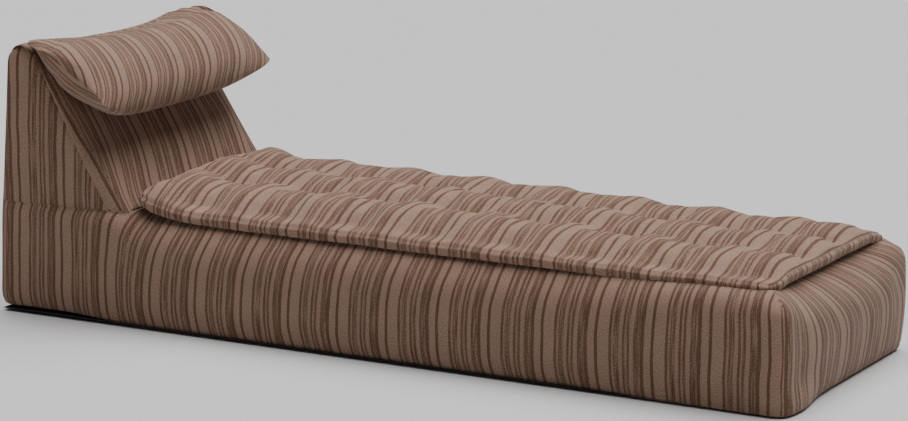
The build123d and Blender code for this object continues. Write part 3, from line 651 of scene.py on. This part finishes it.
def plain_block():
    """The unshaped base, with the unshaped backrest on its head end and its hem turned underneath."""
    bm = bmesh.new()
    block(bm, Vector((0, -HALF_WIDTH, HEM_LOW)), Vector((LENGTH, HALF_WIDTH, BASE_TOP)))
    cut(bm, 0, steps(0, SLOPE_FOOT, CELL) + [SLOPE_FOOT] + steps(SLOPE_FOOT, LENGTH, CELL))
    cut(bm, 1, steps(-HALF_WIDTH, HALF_WIDTH, CELL))
    bm.normal_update()
    head_top = [f for f in bm.faces if f.normal.z > 0.9 and f.calc_center_median().x < SLOPE_FOOT]
    raise_faces(bm, head_top, RISE)
    cut(bm, 2, [0.011, 0.018, HEM_SEAM, HEM_TOP] + steps(HEM_TOP, BASE_TOP, CELL)
        + steps(BASE_TOP, BASE_TOP + RISE, CELL))
    bm.normal_update()
    inside = [f for f in bm.faces if f.normal.z < -0.9
              and HEM_WIDTH < f.calc_center_median().x < LENGTH - HEM_WIDTH
              and abs(f.calc_center_median().y) < HALF_WIDTH - HEM_WIDTH]
    raise_faces(bm, inside, HEM_THICKNESS)
    bm.normal_update()
    bm.verts.index_update()
    return bm


def wall_depth(flat):
    """How far the base's wall is drawn in at a point: the hem's seam and fold, and a slight unevenness."""
    groove = HEM_GROOVE if abs(flat.z - HEM_SEAM) < 1e-4 else 0.0
    lip = 0.0015 + 0.004 * part_way(flat.z, 0.018, -0.014) if flat.z < HEM_SEAM - 1e-4 else 0.0
    swell = 0.0022 * ripple(flat, 0.16) + 0.0010 * ripple(flat, 0.06, 3.0)
    return groove + lip - swell * eased(flat.z, 0.0, 0.05)


def upholster(bm):
    """Shapes the plain block into the cover, and lays the cloth map on it."""
    panel_layer = bm.faces.layers.int.new("panel")
    cloth_layer = bm.loops.layers.uv.new("cloth")
    for face in bm.faces:
        face[panel_layer] = PANELS[panel_of(face)]
    plain = [v.co.copy() for v in bm.verts]
    for vert, flat in zip(bm.verts, plain):
        if flat.z > BASE_TOP + 1e-4:
            vert.co = back_skin(flat)
            continue
        shaped = base_skin(flat)
        on_wall = min(flat.x, LENGTH - flat.x, HALF_WIDTH - abs(flat.y)) < 1e-4
        vert.co = draw_in(shaped, wall_depth(flat)) if on_wall else shaped
    lay_cloth(bm, panel_layer, cloth_layer, plain)


SEAM_POINT = Vector((SEAM_X, 0, SEAM_Z))
SEAM_NORMAL = Vector((1, 0, SEAM_RUN)).normalized()


def cut_diagonal_seam(bm):
    """The diagonal seam: three close cuts down each side, the middle one drawn in."""
    panel_layer = bm.faces.layers.int["panel"]
    for offset in (-SEAM_BAND, 0.0, SEAM_BAND):
        near_faces = [f for f in bm.faces if f[panel_layer] in (PANELS["back"], PANELS["ridge"])]
        geometry = near_faces + list({e for f in near_faces for e in f.edges})
        geometry += list({v for f in near_faces for v in f.verts})
        bmesh.ops.bisect_plane(bm, geom=geometry, dist=1e-5, plane_no=SEAM_NORMAL,
                               plane_co=SEAM_POINT + SEAM_NORMAL * offset)
    on_seam = [v for v in bm.verts if abs((v.co - SEAM_POINT).dot(SEAM_NORMAL)) < 2e-5
               and any(f[panel_layer] == PANELS["back"] for f in v.link_faces)]
    for vert in on_seam:
        vert.co.y -= math.copysign(SEAM_DEPTH, vert.co.y)


def sloping(face, panel_layer):
    """Whether a face belongs to the sloping panel: the slope, and all that lies ahead of the seam."""
    middle = face.calc_center_median() - Vector((HEAD, 0, 0))
    ahead = (middle - SEAM_POINT).dot(SEAM_NORMAL) > 0
    panel = face[panel_layer]
    return panel == PANELS["slope"] or (panel in (PANELS["back"], PANELS["ridge"]) and ahead)


def slope_panel(cover):
    """The sloping panel, copied from the cover; where it wraps on to the sides its stripes run on."""
    panel = cover.copy()
    panel_layer = panel.faces.layers.int["panel"]
    cloth_layer = panel.loops.layers.uv["cloth"]
    rest = [f for f in panel.faces if not sloping(f, panel_layer)]
    bmesh.ops.delete(panel, geom=rest, context="FACES")
    for face in panel.faces:
        if face[panel_layer] != PANELS["back"]:
            continue
        side = 1 if face.calc_center_median().y > 0 else -1
        for loop in face.loops:
            co = loop.vert.co
            behind = 0.83 * (WRAP_X + (SEAM_Z - co.z) * WRAP_RUN - (co.x - HEAD))
            place = line_place(SLOPE_LINES, side * (HALF_WIDTH + behind))
            loop[cloth_layer].uv = (place, SLOPE_GROWTH * (co.z - BASE_TOP))
    panel.normal_update()
    return panel


def sink_under_slope(cover):
    """Lays the cover a little lower where the sloping panel lies over it."""
    panel_layer = cover.faces.layers.int["panel"]
    hidden = {v for f in cover.faces if sloping(f, panel_layer) for v in f.verts}
    hidden = [v for v in hidden if all(sloping(f, panel_layer) for f in v.link_faces)]
    cover.normal_update()
    moves = {v: v.normal * -COVER_GAP for v in hidden}
    for vert, move in moves.items():
        vert.co += move


def body_and_slope():
    """The fitted cover of base and backrest, and the sloping panel sewn into it."""
    cover = plain_block()
    upholster(cover)
    cut_diagonal_seam(cover)
    bmesh.ops.translate(cover, vec=(HEAD, 0, 0), verts=cover.verts[:])
    panel = slope_panel(cover)
    sink_under_slope(cover)
    body = finish_piece(cover, "body_cloth", CLOTH, "base")
    slope = finish_piece(panel, "slope_cloth", CLOTH, "base")
    return rounded(body), rounded(thickened(slope, SLOPE_CLOTH_T, -1))


body_cloth, slope_cloth = body_and_slope()
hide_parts("base_cover", "back_cover", "base_foam", "back_wadding")
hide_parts("slope_cover", "back_pad")


# ------------------------------------------------------------------ strip over the ridge
STRIP_R, STRIP_T = 0.0348, 0.0024
STRIP_START, STRIP_TURN = 26, 148                 # degrees round the ridge


def ridge_strip():
    """Cloth strip folded over the ridge; the pillow is sewn to its front edge."""
    bm = bmesh.new()
    start = math.radians(STRIP_START)
    x, z = RIDGE_X + STRIP_R * math.cos(start), RIDGE_Z + STRIP_R * math.sin(start)
    edge = bm.edges.new((bm.verts.new((x, -STRIP_HALF, z)), bm.verts.new((x, STRIP_HALF, z))))
    bmesh.ops.subdivide_edges(bm, edges=[edge], cuts=60)
    bmesh.ops.spin(bm, geom=bm.edges[:] + bm.verts[:], cent=(RIDGE_X, 0, RIDGE_Z), axis=(0, -1, 0),
                   angle=math.radians(STRIP_TURN), steps=18)
    bmesh.ops.remove_doubles(bm, verts=bm.verts[:], dist=1e-5)
    cloth_layer = bm.loops.layers.uv.new("cloth")
    for vert in bm.verts:
        angle = math.atan2(vert.co.z - RIDGE_Z, vert.co.x - RIDGE_X)
        flattened = 1 - eased(abs(vert.co.y), STRIP_HALF, -0.03)
        radius = STRIP_R - 0.004 * flattened + 0.0006 * ripple(vert.co, 0.05)
        vert.co.x = RIDGE_X + radius * math.cos(angle)
        vert.co.z = RIDGE_Z + radius * math.sin(angle) - ridge_drop(vert.co.y)
    for face in bm.faces:
        for loop in face.loops:
            co = loop.vert.co
            loop[cloth_layer].uv = (co.y, 0.035 * math.atan2(co.z - RIDGE_Z, co.x - RIDGE_X))
    bmesh.ops.recalc_face_normals(bm, faces=bm.faces[:])
    bm.normal_update()
    if sum(f.normal.z for f in bm.faces) < 0:
        bmesh.ops.reverse_faces(bm, faces=bm.faces[:])
    bmesh.ops.translate(bm, vec=(HEAD, 0, 0), verts=bm.verts[:])
    strip = finish_piece(bm, "ridge_strip", CLOTH)
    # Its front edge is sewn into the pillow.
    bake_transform(strip)
    return rounded(thickened(strip, STRIP_T, 0))


strip_cloth = ridge_strip()
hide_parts("ridge_flap")


# ------------------------------------------------------------------ head pillow
# Section through the middle, and the flat fold at the ends, both from the sewn edge over the top to the
# front. The section then comes back underneath, and the fold is its own underside.
PILLOW_MIDDLE = (
    (0.099, 0.757), (0.136, 0.762), (0.190, 0.757), (0.256, 0.734), (0.318, 0.691), (0.366, 0.634),
    (0.379, 0.580), (0.352, 0.547), (0.292, 0.553), (0.215, 0.588), (0.150, 0.652), (0.108, 0.732),
)
PILLOW_FOLD = (
    (0.102, 0.755), (0.146, 0.745), (0.198, 0.722), (0.250, 0.694), (0.302, 0.666), (0.350, 0.636),
    (0.378, 0.611),
)
AROUND, HALF_RINGS = 56, 34                       # faces round the pillow, and rings in each half
PILLOW_REACH = 0.430                              # half its length
PILLOW_GIRTH = 0.83                               # length of its cloth round the section
NEAR_UPTURN, FAR_UPTURN = 0.016, 0.017            # how far its rear corners stand up
FAR_ARCH, FAR_DIP = 0.016, 0.008                  # lift of the far end's fold, and dip of the top beside it
TIP = (0.012, 0.024, -0.016)                      # where the near rear corner is pulled to
PILLOW_DRAG = 0.085                               # how far the cloth is dragged aside over the front
PILLOW_PLAY = 0.007                               # how far the simulation may move its cloth


def along_spline(points, share, closed):
    """A point of a Catmull-Rom spline; share runs from 0 to 1."""
    count = len(points)
    spans = count if closed else count - 1
    place = share * spans
    i = int(min(place, spans - 1e-9))
    f = place - i

    def pick(k):
        return points[k % count] if closed else points[max(0, min(count - 1, k))]

    a, b, c, d = (Vector((*pick(i + k), 0)) for k in (-1, 0, 1, 2))
    point = 0.5 * ((2 * b) + (c - a) * f + (2 * a - 5 * b + 4 * c - d) * f ** 2
                   + (3 * b - a - 3 * c + d) * f ** 3)
    return point.x, point.y


def pillow_fill(out, above, near):
    """How full the pillow is at a place: 1 at its middle and 0 at its ends, where it is a flat fold.
    above is 1 on its top and 0 underneath."""
    if near:
        return mix((1 - out ** 4.4) ** 0.56, (1 - out ** 7.5) ** 0.50, above)
    return mix((1 - out ** 3.2) ** 0.60, (1 - out ** 5) ** 0.60, above)


def pillow_point(share, y):
    """A point of the pillow: share runs round the section, y along the pillow."""
    near, far = y < 0, y > 0
    out = min(abs(y) / PILLOW_REACH, 1.0)
    swell = along_spline(PILLOW_MIDDLE, share, True)
    fold = along_spline(PILLOW_FOLD, 2 * share if share <= 0.5 else 2 - 2 * share, False)
    above = eased(math.cos(2 * math.pi * (share - 0.25)), -0.6, 1.2)
    fill = pillow_fill(out, above, near)
    arch = FAR_ARCH * math.sin(math.pi * part_way(fold[0], 0.12, 0.24)) * far
    x, z = mix(fold[0], swell[0], fill), mix(fold[1] + arch, swell[1], fill)
    z -= FAR_DIP * eased(out, 0.6, 0.3) * above * far
    # The sewn edge sinks with the ridge, and both rear corners stand up, the far one more sharply.
    upturn = NEAR_UPTURN * out ** 1.6
    if far:
        upturn = FAR_UPTURN * eased(out, 0.42, 0.40) * (1 - eased(out, 0.86, 0.14))
    z += part_way(x, 0.32, -0.20) * (upturn - ridge_drop(y)) - 0.004 * part_way(x, 0.13, -0.03)
    pull = eased(out, 0.86, 0.14) * part_way(x, 0.18, -0.07) * near
    return Vector([value + tip * pull for value, tip in zip((x, y, z), TIP)])


def pillow_runs(rings):
    """Distance along the pillow's surface from its middle, for each line along it and each ring."""
    reached = {}
    for turn in range(AROUND):
        line = [pillow_point(turn / AROUND, y * PILLOW_REACH) for y in rings]
        runs = [0.0]
        for a, b in zip(line, line[1:]):
            runs.append(runs[-1] + (b - a).length)
        for y, run in zip(rings, runs):
            reached[turn, y] = run - runs[len(rings) // 2]
    return reached


def plain_bolster():
    """An open tube along Y, with its rings closer together towards its ends."""
    bm = bmesh.new()
    bmesh.ops.create_cone(bm, cap_ends=False, segments=AROUND, radius1=1, radius2=1, depth=2)
    bmesh.ops.rotate(bm, cent=(0, 0, 0), verts=bm.verts[:],
                     matrix=Vector((0, 0, 1)).rotation_difference(Vector((0, 1, 0))).to_matrix())
    rings = range(1 - HALF_RINGS, HALF_RINGS)
    cut(bm, 1, [mix(math.sin(math.pi / 2 * i / HALF_RINGS), i / HALF_RINGS, 0.45) for i in rings])
    return bm


def head_pillow():
    """The pillow: a tube that ends in flat folds, then settled by the cloth simulation."""
    bm = plain_bolster()
    cloth_layer = bm.loops.layers.uv.new("cloth")
    places, turns = {}, {}
    for vert in bm.verts:
        places[vert] = round(vert.co.y, 5)
        turns[vert] = round(math.atan2(vert.co.z, vert.co.x) / (2 * math.pi) * AROUND) % AROUND
    # The cloth is measured along the surface from the middle, so its stripes stay whole on the ends.
    reached = pillow_runs(sorted(set(places.values())))
    for face in bm.faces:
        across_start = {turns[v] for v in face.verts} == {0, AROUND - 1}
        for loop in face.loops:
            turn = turns[loop.vert]
            share = 1.0 if across_start and turn == 0 else turn / AROUND
            drag = PILLOW_DRAG * clamp((share - 0.17) / 0.24, 0.0, 1.3) ** 1.4
            place = line_place(PILLOW_LINES, reached[turn, places[loop.vert]] + drag)
            loop[cloth_layer].uv = (place, share * PILLOW_GIRTH)
    for vert in bm.verts:
        vert.co = pillow_point(turns[vert] / AROUND, vert.co.y * PILLOW_REACH)
    ends = [v for v in bm.verts if abs(v.co.y) > PILLOW_REACH - 1e-5]
    bmesh.ops.remove_doubles(bm, verts=ends, dist=1e-4)
    bmesh.ops.recalc_face_normals(bm, faces=bm.faces[:])
    bmesh.ops.translate(bm, vec=(HEAD, 0, 0), verts=bm.verts[:])
    pillow = finish_piece(bm, "pillow_cloth", CLOTH, "pillow")
    simulate(pillow, lambda co: eased(co.x, at(0.235), -0.13), PILLOW_PLAY)
    return rounded(pillow)


pillow_cloth = head_pillow()
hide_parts("pillow_cover", "pillow_fill")


# ------------------------------------------------------------------ tufted topper
TUFT_START, TUFT_PITCH, TUFT_COUNT = 0.605, 0.232, 8
TUFT_ROWS = (-0.300, -0.100, 0.100, 0.300)
TUFT_LENGTH, TUFT_STITCHES = 0.080, 5
STITCH_SIZE = (0.0064, 0.0017, 0.0018)            # half-sizes of one stitch
TUFT_SPREAD, VALLEY_SPREAD = 0.044, 0.040         # how wide the tufts and the rows between them pull
MIDDLE_PULL, OUTER_PULL = (0.033, 0.017), (0.027, 0.011)        # at a tuft and between two, by row
TOPPER_CELL = 0.012
TOPPER_BORDER, TOPPER_PLAY = 0.030, 0.008         # height of the border; play of the cloth simulation
TOPPER_R, TOPPER_NEAR_R = 0.020, 0.055            # rounded corners
TOPPER_REAR = 0.410                               # where the topper starts, against the foot of the slope
TOPPER_FOOT = TOPPER_HIGH.x - HEAD
TOPPER_HALF = TOPPER_HIGH.y
TOPPER_LIES = BASE_TOP + 0.0006                   # height at which it lies on the base
DROOP, REAR_LIFT, EDGE_WAVE, FOOT_LIP = 0.018, 0.018, 0.004, 0.004
BORDER_INSET, BORDER_BELLY, BORDER_PINCH = 0.010, 0.013, 0.003
# Height of the crown over the border along the bed, as (distance from the rear, height).
CROWN = (
    (0.0, 0.062), (0.50, 0.062), (0.62, 0.048), (0.90, 0.047), (1.20, 0.044), (1.50, 0.037), (1.85, 0.027),
    (2.15, 0.022), (2.24, 0.030), (3.0, 0.032),
)


def along_table(table, place):
    """Reads a table of (place, value) pairs, with a soft step from each row to the next."""
    for (a, low), (b, high) in zip(table, table[1:]):
        if place <= b:
            return mix(low, high, eased(place, a, b - a))
    return table[-1][1]


def from_end(x):
    """Distance to the nearer end of the topper."""
    return min(x - TOPPER_REAR, TOPPER_FOOT - x)


def from_side(y):
    """Distance to the nearer side of the topper."""
    return TOPPER_HALF - abs(y)


def past_tuft(x):
    """How far a place along the bed lies past the nearest tuft: 0 within the tuft's length."""
    nearest = clamp(round((x - TUFT_START) / TUFT_PITCH), 0, TUFT_COUNT - 1)
    return max(0.0, abs(x - TUFT_START - nearest * TUFT_PITCH) - TUFT_LENGTH / 2)


def topper_crown(x, y):
    """Height of the topper's top over its border, before it is tufted."""
    end, side = part_way(from_end(x), 0.0, 0.075), part_way(from_side(y), 0.0, 0.115)
    rise = (1 - (1 - end) ** 2.3) * (1 - (1 - side) ** 2.1)
    inner = part_way(from_side(y), 0.0, 0.36) ** 0.9
    return along_table(CROWN, x) * rise * (0.62 + 0.38 * inner)


def tuft_pull(x, y):
    """How far the tufts and the rows between them pull the top down at a place."""
    pull = 0.0
    for row in TUFT_ROWS:
        across = abs(y - row)
        deep, shallow = MIDDLE_PULL if abs(row) < 0.2 else OUTER_PULL
        stitch = deep * math.exp(-math.hypot(past_tuft(x), 0.9 * across) / TUFT_SPREAD)
        valley = shallow * math.exp(-(across / VALLEY_SPREAD) ** 1.2)
        pull = max(pull, stitch, valley)
    return pull * eased(x - TOPPER_REAR, 0.02, 0.12)


def topper_level(x, y):
    """How far the border sits below or above its flat height: it droops over the rolled edges and is
    lifted where it meets the slope."""
    droop = DROOP * (1 - part_way(from_side(y), 0.0, 0.10)) ** 1.5 * eased(x, 0.36, 0.22)
    lift = REAR_LIFT * part_way(x, 0.62, -0.20) ** 1.6 * eased(abs(y), 0.20, 0.16)
    wave = EDGE_WAVE * ripple((x, y, 0), 0.42, 2.0) * (1 - part_way(from_side(y), 0.0, 0.12))
    lip = FOOT_LIP * (1 - part_way(TOPPER_FOOT - x, 0.0, 0.06)) ** 1.5
    return lift + wave - droop - lip


def topper_top(x, y):
    """Height of the topper's upper cloth at a place, away from its rounded corners."""
    inside = min(from_side(y), from_end(x))
    crown = topper_crown(x, y) - tuft_pull(x, y) * part_way(inside, 0.0, 0.03)
    return TOPPER_LIES + TOPPER_BORDER + crown + topper_level(x, y)


def quilt_point(co, rear, foot):
    """Shapes a point of the plain slab, which lies between rear and foot, into the quilt."""
    end, edge = min(co.x - rear, foot - co.x), from_side(co.y)
    level = (co.z - TOPPER_LIES) / TOPPER_BORDER
    on_top, on_wall = level > 0.99, min(end, edge) < 1e-5
    new_end, new_edge = round_pair(end, edge, TOPPER_R if co.y > 0 else TOPPER_NEAR_R)
    x = rear + new_end if co.x - rear < foot - co.x else foot - new_end
    y = math.copysign(TOPPER_HALF - new_edge, co.y)
    if on_top:
        z = topper_top(co.x, co.y) + 0.0012 * ripple(co, 0.05)
    else:
        z = co.z + topper_level(co.x, co.y)
    if on_wall:
        # The border bellies out between the tufts, is pinched in line with them, and has a low seam.
        phase = math.cos(2 * math.pi * (co.x - TUFT_START) / TUFT_PITCH) if edge < end else 0.0
        belly = (BORDER_BELLY - BORDER_PINCH * phase) * math.sin(math.pi * level) ** 0.7
        belly -= 0.003 * (0.1 < level < 0.3)
        shrink = BORDER_INSET - belly
        x += math.copysign(shrink, (rear + foot) / 2 - x) if end < 0.05 else 0
        y -= math.copysign(shrink, y) if edge < 0.05 else 0
        z = z - 0.003 * on_top + 0.0015 * ripple(co, 0.12, 5.0)
    return Vector((x, y, z))


def quilt_grip(co):
    """How firmly the quilt is held: near its edges, which takes in its border, and at its tufts."""
    x = co.x - HEAD
    tuft = min(math.hypot(past_tuft(x), co.y - row) for row in TUFT_ROWS)
    return 1.0 if min(from_side(co.y), from_end(x)) < 0.045 or tuft < 0.014 else 0.0


def topper_quilt():
    """The topper: a slab with a crowned, tufted top and a soft border, settled by the cloth simulation."""
    bm = bmesh.new()
    low, high = TOPPER_LOW - Vector((HEAD, 0, 0)), TOPPER_HIGH - Vector((HEAD, 0, 0))
    low.x, low.z, high.z = TOPPER_REAR, TOPPER_LIES, TOPPER_LIES + TOPPER_BORDER
    block(bm, low, high)
    cut(bm, 0, steps(low.x, high.x, TOPPER_CELL))
    cut(bm, 1, steps(low.y, high.y, TOPPER_CELL))
    cut(bm, 2, [TOPPER_LIES + TOPPER_BORDER * share for share in (0.2, 0.5, 0.8)])
    bm.normal_update()
    cloth_layer = bm.loops.layers.uv.new("cloth")
    for face in bm.faces:
        end_wall = abs(face.normal.x) > 0.9
        for loop in face.loops:
            co = loop.vert.co
            loop[cloth_layer].uv = (co.y, co.z) if end_wall else (co.x, co.y + co.z)
    for vert in bm.verts:
        vert.co = quilt_point(vert.co, low.x, high.x)
    bmesh.ops.translate(bm, vec=(HEAD, 0, 0), verts=bm.verts[:])
    quilt = finish_piece(bm, "topper_quilt", CLOTH, "topper")
    simulate(quilt, quilt_grip, TOPPER_PLAY)
    return rounded(quilt)


def topper_threads():
    """The tufts: short dashed lines of stitches, sunk in the quilt."""
    bm = bmesh.new()
    for i in range(TUFT_COUNT):
        for row in TUFT_ROWS:
            for k in range(TUFT_STITCHES):
                x = TUFT_START + i * TUFT_PITCH + TUFT_LENGTH * ((k + 0.5) / TUFT_STITCHES - 0.5)
                y = row + 0.002 * ripple((x, row, 0), 0.03)
                made = bmesh.ops.create_uvsphere(bm, u_segments=8, v_segments=6, radius=1.0)["verts"]
                bmesh.ops.scale(bm, vec=STITCH_SIZE, verts=made)
                bmesh.ops.translate(bm, vec=(at(x), y, topper_top(x, y) + 0.0012), verts=made)
    return finish_piece(bm, "topper_threads", FINISHES["thread"], "topper")


topper_cloth = topper_quilt()
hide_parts("topper_top", "topper_border", "topper_base", "topper_wadding", "topper_core")
threads = topper_threads()
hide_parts("topper_tufts")


# ------------------------------------------------------------------ floor, light and camera
FLOOR_HALF = 14
FLOOR_GREY, FLOOR_ROUGHNESS = 0.62, 0.85
BACKDROP_STRENGTH = 0.11
OVERHEAD_STRENGTH, OVERHEAD_SPREAD = 4.5, 62      # the spread in degrees
OVERHEAD_AIM = Vector((-0.06, -0.24, -1.0))
FILL_SIZE, FILL_WATTS = 2.2, 2
FILL_PLACE, FILL_AIM = Vector((0.35, -3.2, 1.7)), Vector((0.0, 3.2, -1.5))
CAMERA_AZIMUTH, CAMERA_ELEVATION, CAMERA_DISTANCE = 28.94, 12.16, 9.37
CAMERA_TARGET = Vector((0.037, 0.0, 0.333))
CAMERA_LENS = 138.1


def place_facing(name, data, place, aim):
    """An object for a lamp or a camera, at a place and facing along a direction."""
    placed = bpy.data.objects.new(name, data)
    placed.location = place
    placed.rotation_mode = "QUATERNION"
    placed.rotation_quaternion = aim.to_track_quat("-Z", "Y")
    bpy.context.scene.collection.objects.link(placed)
    return placed


def studio_floor():
    """A large pale floor."""
    floor = bmesh.new()
    bmesh.ops.create_grid(floor, x_segments=1, y_segments=1, size=FLOOR_HALF)
    mesh = bpy.data.meshes.new("studio_floor")
    floor.to_mesh(mesh)
    floor.free()
    ground = bpy.data.objects.new("studio_floor", mesh)
    bpy.context.scene.collection.objects.link(ground)
    pale = bpy.data.materials.new("pale_floor")
    pale.use_nodes = True
    shader = pale.node_tree.nodes["Principled BSDF"]
    shader.inputs["Base Color"].default_value = (FLOOR_GREY, FLOOR_GREY, FLOOR_GREY, 1)
    shader.inputs["Roughness"].default_value = FLOOR_ROUGHNESS
    ground.data.materials.append(pale)


def studio_light():
    """A dim even backdrop, a wide soft light from above and a weak fill from the front."""
    world = bpy.data.worlds.new("studio")
    bpy.context.scene.world = world
    world.use_nodes = True
    backdrop = world.node_tree.nodes["Background"]
    backdrop.inputs["Color"].default_value = (1.0, 0.99, 0.98, 1)
    backdrop.inputs["Strength"].default_value = BACKDROP_STRENGTH

    overhead = bpy.data.lights.new("overhead", "SUN")
    overhead.energy = OVERHEAD_STRENGTH
    overhead.angle = math.radians(OVERHEAD_SPREAD)
    place_facing("overhead", overhead, Vector(), OVERHEAD_AIM)

    fill = bpy.data.lights.new("front_fill", "AREA")
    fill.size = FILL_SIZE
    fill.energy = FILL_WATTS
    place_facing("front_fill", fill, FILL_PLACE, FILL_AIM)


def product_camera():
    """A long lens, turned about a point in the middle of the bed."""
    azimuth, elevation = math.radians(CAMERA_AZIMUTH), math.radians(CAMERA_ELEVATION)
    back = Vector((math.sin(azimuth) * math.cos(elevation), -math.cos(azimuth) * math.cos(elevation),
                   math.sin(elevation)))
    data = bpy.data.cameras.new("product_camera")
    data.lens = CAMERA_LENS
    data.sensor_width = 36.0
    data.clip_start, data.clip_end = 0.1, 100
    place = CAMERA_TARGET + back * CAMERA_DISTANCE
    bpy.context.scene.camera = place_facing("product_camera", data, place, -back)


studio_floor()
studio_light()
product_camera()
